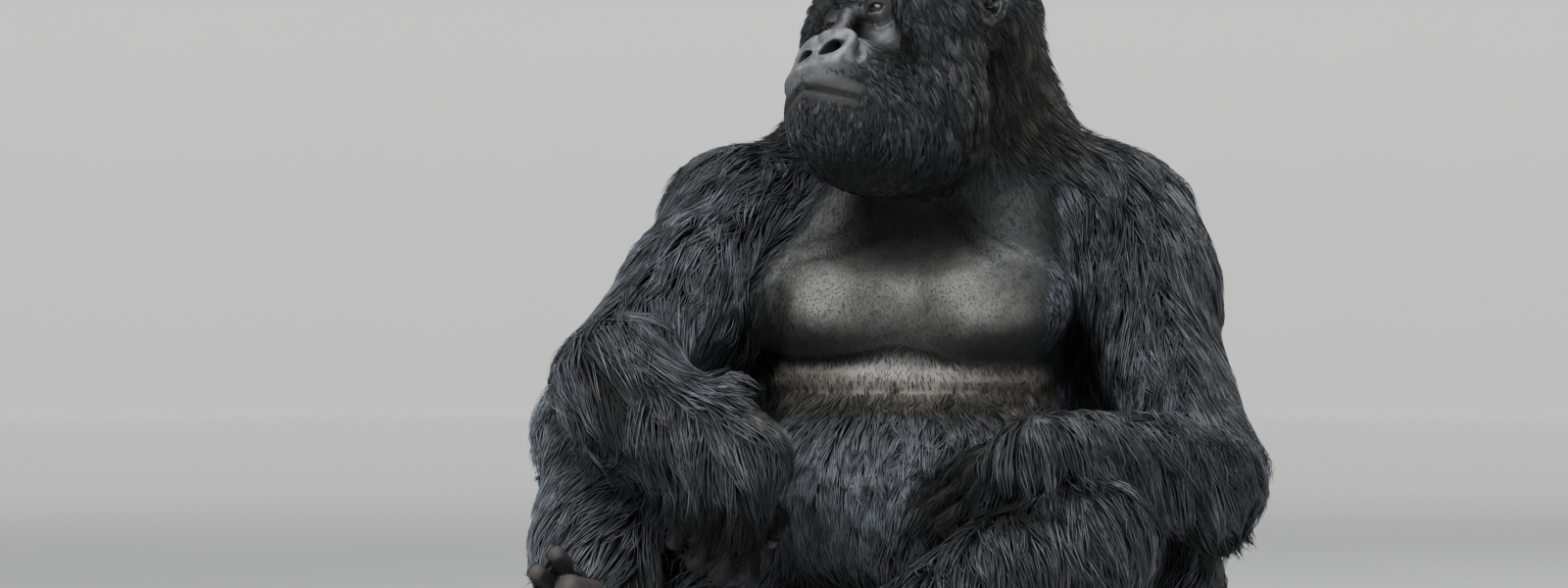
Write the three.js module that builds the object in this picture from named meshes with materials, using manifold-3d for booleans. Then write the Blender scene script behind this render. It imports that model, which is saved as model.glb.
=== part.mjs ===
// A seated adult male mountain gorilla, life size, as a still museum model.
//
// Frame: millimetres, +Z up, the front of the seat towards -Y, the animal's left towards +X.
// The floor is z = 0 and the origin is the middle of the model's box on the floor.
//
// Each body group is a smooth union of named balls (ellipsoids) and bones (tapered capsules).
// Their outer surface is the outline at the tips of the coat. A group is meshed once, and then
// parted into head, neck, trunk and limb solids by thin plane cuts.

import * as THREE from "three";
import { mergeVertices } from "three/addons/utils/BufferGeometryUtils.js";
import Module from "manifold-3d";

const wasm = await Module();
wasm.setup();

// ---------------------------------------------------------------- driving sizes

const GAP = 0.36; // clearance between touching solids
const SAW = 0.34; // width of a cut that parts a group into its named lengths
const FAR = 3000; // half-size of the blocks that make plane cuts

const CELL = { trunk: 61, arm: 55, leg: 56, hand: 32, foot: 32, head: 27, ear: 15 }; // mesh fineness
const EYE_RADIUS = 14.5;
const EYE_RINGS = 5;
const DIGIT_SIDES = 6;

// ---------------------------------------------------------------- frames of the body's parts

const degrees = THREE.MathUtils.degToRad;

function frame(yaw, pitch, roll, x, y, z) {
  const turn = new THREE.Euler(degrees(pitch), degrees(roll), degrees(yaw), "ZYX");
  return new THREE.Matrix4().makeRotationFromEuler(turn).setPosition(x, y, z);
}

// A frame from the way its back (+Y) points and roughly where its left (+X) points.
function aimedFrame(back, left, x, y, z) {
  const yAxis = new THREE.Vector3(...back).normalize();
  const zAxis = new THREE.Vector3(...left).cross(yAxis).normalize();
  const xAxis = new THREE.Vector3().crossVectors(yAxis, zAxis);
  return new THREE.Matrix4().makeBasis(xAxis, yAxis, zAxis).setPosition(x, y, z);
}

const WORLD = new THREE.Matrix4();
const TRUNK = frame(-10, 0, 0, 22, 0, 0);
const HEAD = frame(-45.4, -11.8, -15.9, 21, -110, 790);

const at = (place, point) => new THREE.Vector3(...point).applyMatrix4(place);

// Joints of the limbs. "R" is the animal's right.
const JOINTS = {
  R: {
    shoulder: [-190, 45, 586],
    elbow: [-340, -255, 395],
    wrist: [-192, -378, 318],
    triceps: [-252, -84, 472],
    hip: [-100, 60, 140],
    haunch: [-190, 20, 160],
    knee: [-358, -62, 328],
    calf: [-378, -145, 205],
    ankle: [-346, -234, 86],
  },
  L: {
    shoulder: [254, 55, 582],
    elbow: [344, -215, 290],
    wrist: [150, -308, 318],
    triceps: [302, -10, 500],
    hip: [165, 80, 142],
    haunch: [276, -52, 148],
    knee: [205, -305, 208],
    calf: [95, -352, 158],
    ankle: [-75, -425, 80],
  },
};

const FOOT = {
  R: aimedFrame([0.557, 0.587, -0.587], [0.624, 0.171, 0.763], ...JOINTS.R.ankle),
  L: aimedFrame([0.95, 0.3, 0.1], [0.2, -0.75, -0.6], ...JOINTS.L.ankle),
};

const HAND = {
  R: aimedFrame([0.26, -0.3, 0.92], [1, 0, -0.28], ...JOINTS.R.wrist),
  L: aimedFrame([0.78, -0.36, 0.5], [0.15, -0.7, -0.74], ...JOINTS.L.wrist),
};

// ---------------------------------------------------------------- balls, bones and their union

function ball(place, centre, radii, blend, yaw = 0, pitch = 0, roll = 0) {
  const own = place.clone().multiply(frame(yaw, pitch, roll, ...centre));
  return { centre: at(place, centre), radii: radii, inverse: own.invert(), blend: blend };
}

function bone(place, from, to, fromRadius, toRadius, blend) {
  return { from: at(place, from), to: at(place, to), radii: [fromRadius, toRadius], blend: blend };
}

// The same ball or bone on both sides of the frame's middle plane.
const pairOfBalls = (place, [x, y, z], radii, blend, yaw = 0, pitch = 0, roll = 0) => [
  ball(place, [x, y, z], radii, blend, yaw, pitch, roll),
  ball(place, [-x, y, z], radii, blend, -yaw, pitch, -roll),
];

const pairOfBones = (place, from, to, fromRadius, toRadius, blend) => [
  bone(place, from, to, fromRadius, toRadius, blend),
  bone(place, [-from[0], from[1], from[2]], [-to[0], to[1], to[2]], fromRadius, toRadius, blend),
];

const scratch = new THREE.Vector3();
const along = new THREE.Vector3();

function distanceToBall(point, { inverse, radii }) {
  const { x, y, z } = scratch.copy(point).applyMatrix4(inverse);
  const [a, b, c] = radii;
  const near = Math.hypot(x / a, y / b, z / c);
  const slope = Math.hypot(x / (a * a), y / (b * b), z / (c * c));
  return slope < 1e-9 ? -Math.min(a, b, c) : (near * (near - 1)) / slope;
}

function distanceToBone(point, { from, to, radii }) {
  along.subVectors(to, from);
  scratch.subVectors(point, from);
  const share = THREE.MathUtils.clamp(scratch.dot(along) / along.lengthSq(), 0, 1);
  return scratch.addScaledVector(along, -share).length() - THREE.MathUtils.lerp(...radii, share);
}

// Union with a rounded inside corner about as wide as blend.
function smoothMin(a, b, blend) {
  const mix = Math.max(blend - Math.abs(a - b), 0) / blend;
  return Math.min(a, b) - (mix * mix * blend) / 4;
}

function distanceTo(point, shapes) {
  let nearest = Infinity;
  for (const shape of shapes) {
    const distance = shape.inverse ? distanceToBall(point, shape) : distanceToBone(point, shape);
    nearest = nearest === Infinity ? distance : smoothMin(nearest, distance, shape.blend);
  }
  return nearest;
}

// ---------------------------------------------------------------- the body's groups

function trunkShapes() {
  return [
    ball(TRUNK, [0, 85, 124], [212, 185, 135], 60), // rump
    ball(TRUNK, [0, -20, 255], [222, 225, 175], 70), // belly
    ball(TRUNK, [0, 80, 340], [222, 150, 170], 60), // loins
    ball(TRUNK, [0, 40, 470], [215, 185, 205], 70), // rib cage
    ball(TRUNK, [0, 85, 500], [262, 140, 190], 60), // back muscles
    ...pairOfBalls(TRUNK, [88, -97, 488], [108, 88, 78], 36, 12), // breast muscles
    ...pairOfBalls(TRUNK, [212, 84, 500], [86, 94, 150], 60), // flanks behind the armpits
    ball(TRUNK, [0, 95, 600], [262, 125, 108], 60), // shoulder blades
    ...pairOfBones(TRUNK, [158, 75, 618], [66, 50, 735], 72, 90, 50), // trapezius
    bone(TRUNK, [0, 30, 630], [26, -15, 725], 118, 92, 40), // neck
    bone(TRUNK, [24, 92, 670], [62, -8, 822], 112, 94, 50), // nape
  ];
}

function headShapes() {
  return [
    ball(HEAD, [0, 18, 52], [88, 116, 80], 30), // brain case
    ball(HEAD, [0, 22, 105], [44, 92, 62], 40, 0, -12), // crest
    ball(HEAD, [0, 78, 62], [80, 66, 84], 40), // nuchal muscles
    bone(HEAD, [-48, -100, 46], [48, -100, 46], 24, 24, 24), // brow ridge
    ...pairOfBalls(HEAD, [68, -84, 38], [24, 28, 24], 24), // brow ends
    ball(HEAD, [0, -66, 2], [76, 42, 62], 24), // face
    ...pairOfBalls(HEAD, [84, -64, 4], [42, 54, 60], 24), // cheek bones and their hair
    ...pairOfBalls(HEAD, [54, -12, -2], [42, 60, 76], 35), // temples
    ...pairOfBalls(HEAD, [62, -36, -76], [50, 66, 68], 40), // jaw muscles and whiskers
    bone(HEAD, [0, -106, 20], [0, -148, -30], 17, 24, 20), // bridge of the nose
    ball(HEAD, [0, -124, -78], [66, 68, 56], 30), // muzzle
    ...pairOfBalls(HEAD, [20, -160, -50], [22, 20, 20], 14), // wings of the nose
    ball(HEAD, [0, -166, -84], [56, 40, 25], 16), // upper lip
    ball(HEAD, [0, -150, -130], [66, 58, 46], 22), // lower lip, chin and beard
    ball(HEAD, [0, -92, -138], [84, 82, 62], 40), // beard under the jaw
    ball(HEAD, [0, -20, -120], [84, 90, 60], 50), // throat
  ];
}

const earShapes = (side) => [
  ball(HEAD, [108 * side, 7, 20], [12, 21, 33], 6, -28 * side, -8, -8 * side),
  ball(HEAD, [98 * side, -2, 8], [14, 18, 28], 8, -22 * side),
];

function armShapes({ shoulder, elbow, wrist, triceps }) {
  return [
    ball(WORLD, shoulder, [106, 118, 100], 40), // shoulder muscle
    bone(WORLD, shoulder, elbow, 98, 82, 40), // upper arm
    ball(WORLD, triceps, [92, 108, 122], 40), // back of the upper arm
    bone(WORLD, elbow, wrist, 80, 60, 30), // forearm
  ];
}

function legShapes({ hip, haunch, knee, calf, ankle }) {
  return [
    ball(WORLD, hip, [130, 140, 128], 40), // hip
    ball(WORLD, haunch, [120, 165, 125], 50), // outer thigh and its long hair
    bone(WORLD, hip, knee, 118, 90, 40), // thigh
    bone(WORLD, knee, ankle, 88, 62, 30), // shin
    ball(WORLD, calf, [80, 74, 88], 40), // calf and its long hair
  ];
}

const between = (from, to, share) => from.map((value, i) => THREE.MathUtils.lerp(value, to[i], share));

// A hand in its own frame: wrist at the origin and +Y, knuckles at -Y, palm at -Z, thumb at -X * side.
function handShapes({ elbow, wrist }, hand, side) {
  return [
    bone(WORLD, between(elbow, wrist, 0.7), wrist, 66, 58, 20), // end of the forearm
    bone(hand, [-16 * side, -8, 0], [-26 * side, -84, 0], 32, 27, 20), // palm, thumb side
    bone(hand, [16 * side, -8, 0], [27 * side, -80, 0], 32, 25, 20), // palm, little finger side
  ];
}

// A foot in its own frame: ankle at the origin, heel at +Y, sole at -Z, great toe at -X * side.
function footShapes({ knee, ankle }, foot, side) {
  return [
    bone(WORLD, between(knee, ankle, 0.7), ankle, 69, 60, 20), // end of the shin
    ball(foot, [0, 50, -46], [45, 52, 54], 20), // heel
    bone(foot, [0, 0, -20], [-4 * side, -95, -42], 44, 30, 20), // instep
    bone(foot, [-26 * side, -70, -46], [26 * side, -108, -48], 27, 25, 20), // ball of the foot
  ];
}

// ---------------------------------------------------------------- meshing a group

// The plane that parts head from neck: from under the beard up to the nape.
const SKULL_BASE = { point: [22, -60, 735], normal: [-0.45, -0.45, 0.77] };

const opposite = ({ point, normal }) => ({ point, normal: normal.map((value) => -value) });

function heightOver(point, plane) {
  const ahead = new THREE.Vector3(...plane.normal).normalize();
  return point.clone().sub(new THREE.Vector3(...plane.point)).dot(ahead);
}

function boundsOf(shapes) {
  const box = new THREE.Box3();
  for (const shape of shapes) {
    const reach = Math.max(...shape.radii);
    for (const point of shape.inverse ? [shape.centre] : [shape.from, shape.to]) {
      box.union(new THREE.Box3().setFromCenterAndSize(point, new THREE.Vector3().setScalar(2 * reach)));
    }
  }
  return box;
}

// A net whose sheets never share an edge: the grid is shifted until that holds. With a plane
// given, the net holds only what lies ahead of it, and a margin that the later cut takes off.
function surfaceNet(shapes, cell, plane = null) {
  const box = boundsOf(shapes).expandByScalar(1.5 * cell);
  const field = plane
    ? (point) => Math.max(distanceTo(point, shapes), -heightOver(point, plane) - cell)
    : (point) => distanceTo(point, shapes);
  for (let shift = 0; shift < 1; shift += 1 / 16) {
    const net = shiftedNet(field, box, cell, shift * cell);
    if (isManifold(net)) return net;
  }
  throw new Error("no grid shift gives a manifold net");
}

function isManifold(geometry) {
  const edges = new Set();
  const { array } = geometry.index;
  for (let corner = 0; corner < array.length; corner++) {
    const next = corner % 3 === 2 ? corner - 2 : corner + 1;
    const edge = `${array[corner]} ${array[next]}`;
    if (edges.has(edge)) return false;
    edges.add(edge);
  }
  return true;
}

// Surface net: a vertex for each sheet that crosses a grid cell, pulled onto the surface.
function shiftedNet(fieldAt, bounds, cell, shift) {
  const start = bounds.min.clone().subScalar(shift);
  const size = bounds.max.clone().sub(start);
  const count = [size.x, size.y, size.z].map((length) => Math.ceil(length / cell) + 1);
  const nodeId = (i, j, k) => (i * count[1] + j) * count[2] + k;
  const nodeAt = (i, j, k) => new THREE.Vector3(i, j, k).multiplyScalar(cell).add(start);
  const field = new Float64Array(count[0] * count[1] * count[2]);
  eachCell(count, (i, j, k) => (field[nodeId(i, j, k)] = fieldAt(nodeAt(i, j, k))));

  const vertexOf = new Map();
  const positions = [];
  eachCell(count.map((n) => n - 1), (i, j, k) => {
    const nodes = CORNERS.map(([a, b, c]) => [i + a, j + b, k + c]);
    const values = nodes.map((node) => field[nodeId(...node)]);
    for (const { corners, crossings } of sheetsIn(values)) {
      const vertex = positions.length / 3;
      for (const corner of corners) vertexOf.set(8 * nodeId(i, j, k) + corner, vertex);
      const centre = centreOf(crossings, nodes.map((node) => nodeAt(...node)), values);
      pullToSurface(centre, fieldAt);
      positions.push(centre.x, centre.y, centre.z);
    }
  });
  return geometryOf(positions, netFaces(count, field, nodeId, vertexOf));
}

function eachCell([ni, nj, nk], visit) {
  for (let i = 0; i < ni; i++) for (let j = 0; j < nj; j++) for (let k = 0; k < nk; k++) visit(i, j, k);
}

// A cell's corners, numbered by bits (1 for x, 2 for y, 4 for z), and its edges as corner pairs.
const CORNERS = [0, 1, 2, 3, 4, 5, 6, 7].map((bits) => [bits & 1, (bits >> 1) & 1, (bits >> 2) & 1]);
const EDGES = CORNERS.flatMap((_, a) => [1, 2, 4].filter((bit) => !(a & bit)).map((bit) => [a, a | bit]));

// The inside corners, in groups that hang together along the cell's edges: one sheet round each.
function sheetsIn(values) {
  const group = values.map((value, corner) => (value < 0 ? corner : -1));
  for (let pass = 0; pass < 4; pass++) {
    for (const [a, b] of EDGES) {
      if (group[a] >= 0 && group[b] >= 0) group[a] = group[b] = Math.min(group[a], group[b]);
    }
  }
  const crossed = EDGES.filter(([a, b]) => group[a] < 0 !== group[b] < 0);
  return [...new Set(group)]
    .filter((label) => label >= 0 && crossed.length)
    .map((label) => ({
      corners: [0, 1, 2, 3, 4, 5, 6, 7].filter((corner) => group[corner] === label),
      crossings: crossed.filter(([a, b]) => group[a] === label || group[b] === label),
    }));
}

function centreOf(crossings, places, values) {
  const centre = new THREE.Vector3();
  for (const [a, b] of crossings) {
    centre.add(places[a].clone().lerp(places[b], values[a] / (values[a] - values[b])));
  }
  return centre.divideScalar(crossings.length);
}

function pullToSurface(point, fieldAt) {
  const step = 0.5;
  const probe = new THREE.Vector3();
  for (let pass = 0; pass < 3; pass++) {
    const here = fieldAt(point);
    const slope = ["x", "y", "z"].map((axis) => {
      probe.copy(point)[axis] += step;
      return (fieldAt(probe) - here) / step;
    });
    const gradient = new THREE.Vector3(...slope);
    point.addScaledVector(gradient, (-0.9 * here) / Math.max(gradient.lengthSq(), 0.25));
  }
}

// Two triangles round each grid edge that the surface crosses.
function netFaces(count, field, nodeId, vertexOf) {
  const faces = [];
  eachCell(count.map((n) => n - 1), (i, j, k) => {
    for (let axis = 0; axis < 3; axis++) {
      const [along, u, v] = [axis, (axis + 1) % 3, (axis + 2) % 3].map((n) => 1 << n);
      const stepped = (bits, by = 1) => nodeId(...[i, j, k].map((n, at) => n + (bits & (1 << at) ? by : 0)));
      const here = field[stepped(0)] < 0;
      if (here === field[stepped(along)] < 0) continue;
      const inner = here ? 0 : along;
      const around = [0, u, u | v, v].map((bits) => vertexOf.get(8 * stepped(bits, -1) + (bits | inner)));
      const [a, b, c, d] = here ? around : around.reverse();
      faces.push(a, b, c, a, c, d);
    }
  });
  return faces;
}

function geometryOf(positions, faces) {
  const geometry = new THREE.BufferGeometry();
  geometry.setAttribute("position", new THREE.Float32BufferAttribute(positions, 3));
  geometry.setIndex(faces);
  return geometry;
}

// The same mesh with each vertex moved out along its normal: a cutter that leaves clearance.
function grown(geometry, distance) {
  const copy = geometry.clone();
  copy.computeVertexNormals();
  const { position, normal } = copy.attributes;
  for (let i = 0; i < position.count; i++) {
    const outward = new THREE.Vector3().fromBufferAttribute(normal, i);
    const moved = new THREE.Vector3().fromBufferAttribute(position, i).addScaledVector(outward, distance);
    position.setXYZ(i, moved.x, moved.y, moved.z);
  }
  return copy;
}

// ---------------------------------------------------------------- solids: cut and part

// Positions only, with like vertices merged, as a solid needs.
function welded(geometry) {
  const bare = geometry.clone();
  bare.deleteAttribute("normal");
  bare.deleteAttribute("uv");
  return mergeVertices(bare, 1e-4);
}

function solidOf(geometry) {
  const { attributes, index } = geometry;
  const mesh = new wasm.Mesh({
    numProp: 3,
    vertProperties: new Float32Array(attributes.position.array),
    triVerts: new Uint32Array(index.array),
  });
  return new wasm.Manifold(mesh);
}

// A block that fills the half of space ahead of a point, started off by a small clearance.
function halfSpace(point, normal, clearance) {
  const ahead = new THREE.Vector3(...normal).normalize();
  const block = welded(new THREE.BoxGeometry(2 * FAR, 2 * FAR, 2 * FAR));
  const centre = new THREE.Vector3(...point).addScaledVector(ahead, FAR + clearance);
  block.applyQuaternion(new THREE.Quaternion().setFromUnitVectors(new THREE.Vector3(0, 0, 1), ahead));
  block.translate(centre.x, centre.y, centre.z);
  return solidOf(block);
}

// Parts a solid at a plane: what lies ahead of it, and what lies behind it.
function parted(solid, point, normal) {
  const back = normal.map((value) => -value);
  return [
    solid.intersect(halfSpace(point, normal, SAW / 2)),
    solid.intersect(halfSpace(point, back, SAW / 2)),
  ];
}

// The plane across a bent joint, facing the far limb segment.
function jointPlane(near, joint, far) {
  const [a, b, c] = [near, joint, far].map((point) => new THREE.Vector3(...point));
  return c.sub(b).normalize().sub(a.sub(b).normalize()).toArray();
}

const without = (solid, cutters) => cutters.reduce((left, cutter) => left.subtract(cutter), solid);

function largestBody(solid) {
  const bodies = solid.decompose();
  return bodies.reduce((best, body) => (body.volume() > best.volume() ? body : best));
}

// A shape in the forms that the cuts need: the solid, and the cutter that leaves clearance.
function stock(geometry) {
  return { solid: solidOf(geometry), cutter: solidOf(grown(geometry, GAP)) };
}

// ---------------------------------------------------------------- eyes and digits

// A closed tube with round ends along a bent line: one finger or toe.
function digitGeometry(points, radii) {
  const line = points.map((point) => new THREE.Vector3(...point));
  const tip = line.at(-1).clone().sub(line.at(-2)).setLength(0.62 * radii.at(-1));
  const rings = line.map((centre, i) => ({ centre, radius: radii[i] }));
  rings.push({ centre: line.at(-1).clone().add(tip), radius: 0.72 * radii.at(-1) });
  const side = new THREE.Vector3(0, 0, 1).cross(tip).normalize();
  const positions = [line[0].x, line[0].y, line[0].z];
  rings.forEach(({ centre, radius }, i) => {
    const ahead = rings[Math.min(i + 1, rings.length - 1)].centre.clone().sub(rings[Math.max(i - 1, 0)].centre);
    const up = new THREE.Vector3().crossVectors(ahead, side).normalize();
    for (let k = 0; k < DIGIT_SIDES; k++) {
      const angle = (2 * Math.PI * k) / DIGIT_SIDES;
      const rim = centre.clone().addScaledVector(side, radius * Math.cos(angle));
      positions.push(...rim.addScaledVector(up, radius * Math.sin(angle)).toArray());
    }
  });
  positions.push(...line.at(-1).clone().addScaledVector(tip, 1.55).toArray());
  return geometryOf(positions, tubeFaces(rings.length, DIGIT_SIDES));
}

function tubeFaces(rings, sides) {
  const faces = [];
  const id = (ring, k) => 1 + ring * sides + (k % sides);
  const tip = 1 + rings * sides;
  for (let k = 0; k < sides; k++) {
    faces.push(0, id(0, k + 1), id(0, k));
    for (let ring = 0; ring + 1 < rings; ring++) {
      const [a, b, c, d] = [id(ring, k), id(ring, k + 1), id(ring + 1, k + 1), id(ring + 1, k)];
      faces.push(a, b, c, a, c, d);
    }
    faces.push(tip, id(rings - 1, k), id(rings - 1, k + 1));
  }
  return faces;
}

function eyeGeometry(side) {
  const eye = welded(new THREE.SphereGeometry(EYE_RADIUS, 2 * EYE_RINGS, EYE_RINGS));
  return eye.applyMatrix4(HEAD.clone().multiply(frame(0, 0, 0, 34 * side, -106, 19)));
}

// Digits from the inner side outwards, in the frame of the foot or hand: joints, then thickness.
const TOES = [
  { name: "hallux", joints: [[-28, -78, -58], [-16, -130, -82], [-4, -165, -90]], radius: 20 },
  { name: "toe_2", joints: [[-24, -106, -44], [-25, -150, -38], [-26, -180, -48]], radius: 13.5 },
  { name: "toe_3", joints: [[2, -106, -44], [4, -154, -38], [4, -184, -48]], radius: 13.5 },
  { name: "toe_4", joints: [[22, -102, -46], [33, -146, -40], [35, -176, -50]], radius: 13.5 },
  { name: "toe_5", joints: [[38, -88, -48], [60, -128, -44], [65, -156, -52]], radius: 12.5 },
];

const FINGERS = [
  { name: "thumb", joints: [[-34, -34, -14], [-62, -78, -26], [-60, -106, -42]], radius: 15 },
  { name: "finger_2", joints: [[-36, -76, 0], [-46, -144, -4], [-43, -162, -52]], radius: 14.5 },
  { name: "finger_3", joints: [[-12, -76, 0], [-15, -152, -4], [-14, -168, -54]], radius: 15 },
  { name: "finger_4", joints: [[13, -76, 0], [16, -146, -6], [15, -160, -54]], radius: 14.5 },
  { name: "finger_5", joints: [[36, -70, 0], [45, -130, -8], [43, -142, -50]], radius: 13 },
];

function digitOn(place, side, { joints, radius }) {
  const line = joints.map(([x, y, z]) => at(place, [x * side, y, z]).toArray());
  return digitGeometry(line, [radius, 1.02 * radius, 0.92 * radius]);
}

// ---------------------------------------------------------------- the whole animal

const COLOURS = {
  coat: { color: 0x1b1c1f, roughness: 0.75 },
  skin: { color: 0x2c2b2d, roughness: 0.55 },
  saddle: { color: 0x6d6f72, roughness: 0.8 },
  eye: { color: 0x2a160c, roughness: 0.15 },
};

const materials = Object.fromEntries(
  Object.entries(COLOURS).map(([name, look]) => [name, new THREE.MeshStandardMaterial({ ...look, metalness: 0 })]),
);

const SIDES = { R: -1, L: 1 };
const SIDE_WORD = { R: "right", L: "left" };

// Every group as stock, before anything is cut. Head and trunk are the two sides of one skin.
function makeStock() {
  const torso = [...trunkShapes(), ...headShapes()];
  const pieces = {
    trunk: stock(surfaceNet(torso, CELL.trunk, opposite(SKULL_BASE))),
    head: stock(surfaceNet(torso, CELL.head, SKULL_BASE)),
  };
  for (const [key, side] of Object.entries(SIDES)) {
    const joints = JOINTS[key];
    pieces["arm" + key] = stock(surfaceNet(armShapes(joints), CELL.arm));
    pieces["leg" + key] = stock(surfaceNet(legShapes(joints), CELL.leg));
    pieces["hand" + key] = stock(surfaceNet(handShapes(joints, HAND[key], side), CELL.hand));
    pieces["foot" + key] = stock(surfaceNet(footShapes(joints, FOOT[key], side), CELL.foot));
    pieces["ear" + key] = stock(surfaceNet(earShapes(side), CELL.ear));
    pieces["eye" + key] = stock(eyeGeometry(side));
    for (const toe of TOES) pieces[toe.name + key] = stock(digitOn(FOOT[key], side, toe));
    for (const finger of FINGERS) pieces[finger.name + key] = stock(digitOn(HAND[key], side, finger));
  }
  return pieces;
}

// Who gives way to whom: each group on the left is cut by those on its right.
const GIVES_WAY = {
  head: ["eyeR", "eyeL"],
  earR: ["head", "trunk"],
  earL: ["head", "trunk"],
  armR: ["trunk", "head"],
  armL: ["trunk", "head"],
  legR: ["trunk", "armR", "handR"],
  legL: ["trunk", "armL", "legR", "handL"],
  handR: ["trunk"],
  handL: ["trunk"],
  footL: ["trunk"],
};

// A digit gives way to its own hand or foot, to the digit before it, and to the body beside it.
function digitSolid(pieces, key, limb, digits, i) {
  const before = i > 0 ? [digits[i - 1].name + key] : [];
  const others = [limb + key, ...before, "trunk", "legR", "legL"];
  const beside = limb === "foot" ? others.filter((other) => other !== "leg" + key) : others;
  return without(pieces[digits[i].name + key].solid, beside.map((other) => pieces[other].cutter));
}

function solidParts() {
  const pieces = makeStock();
  const cut = Object.fromEntries(Object.entries(pieces).map(([name, { solid }]) => [name, solid]));
  for (const [name, others] of Object.entries(GIVES_WAY)) {
    cut[name] = without(cut[name], others.map((other) => pieces[other].cutter));
  }
  const { point, normal } = SKULL_BASE;
  const head = parted(cut.head, point, normal)[0];
  const trunk = parted(cut.trunk, point, normal)[1];
  const [upper, rump] = parted(trunk, at(TRUNK, [0, 0, 225]).toArray(), [0, 0.1, 1]);
  const [ribs, belly] = parted(upper, at(TRUNK, [0, -150, 425]).toArray(), [0, 0.1, 1]);
  const [neck, chest] = parted(ribs, at(TRUNK, [0, 40, 665]).toArray(), [0, -0.25, 1]);
  const parts = { head, neck, chest, belly, rump };
  for (const [key, word] of Object.entries(SIDE_WORD)) {
    const { shoulder, elbow, wrist, hip, knee, ankle } = JOINTS[key];
    const knuckle = at(HAND[key], [0, -80, 0]).toArray();
    const toe = at(FOOT[key], [0, -120, -40]).toArray();
    const wristPlane = jointPlane(elbow, wrist, knuckle);
    const anklePlane = jointPlane(knee, ankle, toe);
    const [lowArm, upperArm] = parted(cut["arm" + key], elbow, jointPlane(shoulder, elbow, wrist));
    const [lowLeg, thigh] = parted(cut["leg" + key], knee, jointPlane(hip, knee, ankle));
    const forearm = parted(lowArm, wrist, wristPlane)[1];
    const shin = parted(lowLeg, ankle, anklePlane)[1];
    const hand = parted(cut["hand" + key], wrist, wristPlane)[0];
    const foot = parted(cut["foot" + key], ankle, anklePlane)[0];
    const limb = { upper_arm: upperArm, forearm, hand, thigh, shin, foot };
    for (const [name, solid] of Object.entries(limb)) parts[`${name}_${word}`] = solid;
    TOES.forEach(({ name }, i) => (parts[`${name}_${word}`] = digitSolid(pieces, key, "foot", TOES, i)));
    FINGERS.forEach(({ name }, i) => (parts[`${name}_${word}`] = digitSolid(pieces, key, "hand", FINGERS, i)));
    parts[`ear_${word}`] = cut["ear" + key];
    parts[`eye_${word}`] = cut["eye" + key];
  }
  return parts;
}

function meshOf(name, solid) {
  const floor = halfSpace([0, 0, 0], [0, 0, -1], 0);
  const { vertProperties, triVerts } = largestBody(solid.subtract(floor)).getMesh();
  const geometry = geometryOf(vertProperties, [...triVerts]);
  const look = name.startsWith("eye") ? "eye" : /hallux|toe|hand|foot/.test(name) ? "skin" : "coat";
  const mesh = new THREE.Mesh(geometry, materials[look]);
  mesh.name = name;
  return mesh;
}

const gorilla = new THREE.Group();
for (const [name, solid] of Object.entries(solidParts())) gorilla.add(meshOf(name, solid));
const middle = new THREE.Box3().setFromObject(gorilla).getCenter(new THREE.Vector3());
gorilla.position.set(-middle.x, -middle.y, 0);

export default gorilla;
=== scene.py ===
"""A seated adult male mountain gorilla: its skin, coat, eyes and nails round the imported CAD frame.

Shapes are worked out in millimetres in the animal's own layout (front -Y, its left +X, floor z = 0)
and moved into the frame's metres when a mesh is made.
"""

from types import SimpleNamespace

import bmesh
import bpy
import numpy as np
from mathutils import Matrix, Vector, kdtree


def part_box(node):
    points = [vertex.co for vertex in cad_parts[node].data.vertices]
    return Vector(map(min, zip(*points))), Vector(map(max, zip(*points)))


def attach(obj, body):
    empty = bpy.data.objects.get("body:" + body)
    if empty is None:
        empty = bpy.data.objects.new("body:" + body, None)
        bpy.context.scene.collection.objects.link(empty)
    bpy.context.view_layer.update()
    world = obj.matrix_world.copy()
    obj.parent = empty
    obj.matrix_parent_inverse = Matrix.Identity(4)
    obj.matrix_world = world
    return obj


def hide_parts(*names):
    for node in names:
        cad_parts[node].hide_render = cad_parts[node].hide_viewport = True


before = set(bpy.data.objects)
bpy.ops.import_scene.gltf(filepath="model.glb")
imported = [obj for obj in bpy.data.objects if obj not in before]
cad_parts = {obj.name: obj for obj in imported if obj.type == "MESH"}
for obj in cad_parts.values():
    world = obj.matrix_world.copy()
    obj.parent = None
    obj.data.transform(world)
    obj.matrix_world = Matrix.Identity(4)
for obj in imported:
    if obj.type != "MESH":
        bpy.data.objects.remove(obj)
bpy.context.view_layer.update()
rng = np.random.default_rng(11)

# ---------------------------------------------------------------- places in the body


def rotation(yaw, pitch, roll):
    """Turned about X by pitch, then about Y by roll, then about Z by yaw, in degrees."""
    angles = np.radians([yaw, pitch, roll])
    cz, cx, cy = np.cos(angles)
    sz, sx, sy = np.sin(angles)
    about_z = np.array([[cz, -sz, 0], [sz, cz, 0], [0, 0, 1]])
    about_y = np.array([[cy, 0, sy], [0, 1, 0], [-sy, 0, cy]])
    about_x = np.array([[1, 0, 0], [0, cx, -sx], [0, sx, cx]])
    return about_z @ about_y @ about_x


def unit(vectors):
    vectors = np.asarray(vectors, float)
    return vectors / np.maximum(np.linalg.norm(vectors, axis=-1, keepdims=True), 1e-9)


def place(yaw, pitch, roll, x, y, z):
    return SimpleNamespace(turn=rotation(yaw, pitch, roll), origin=np.array([x, y, z], float))


def aimed_place(back, left, origin):
    """A place whose +Y points back and whose +X points roughly left."""
    y_axis = unit(back)
    z_axis = unit(np.cross(left, y_axis))
    turn = np.array([np.cross(y_axis, z_axis), y_axis, z_axis]).T
    return SimpleNamespace(turn=turn, origin=np.array(origin, float))


def out_of(home, points):
    """Points of a place's own frame, in the animal's layout."""
    return np.asarray(points, float) @ home.turn.T + home.origin


def into(home, points):
    """Points of the animal's layout, in a place's own frame."""
    return (points - home.origin) @ home.turn


def distance_from(points, spot):
    return np.linalg.norm(points - spot, axis=1)


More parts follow.
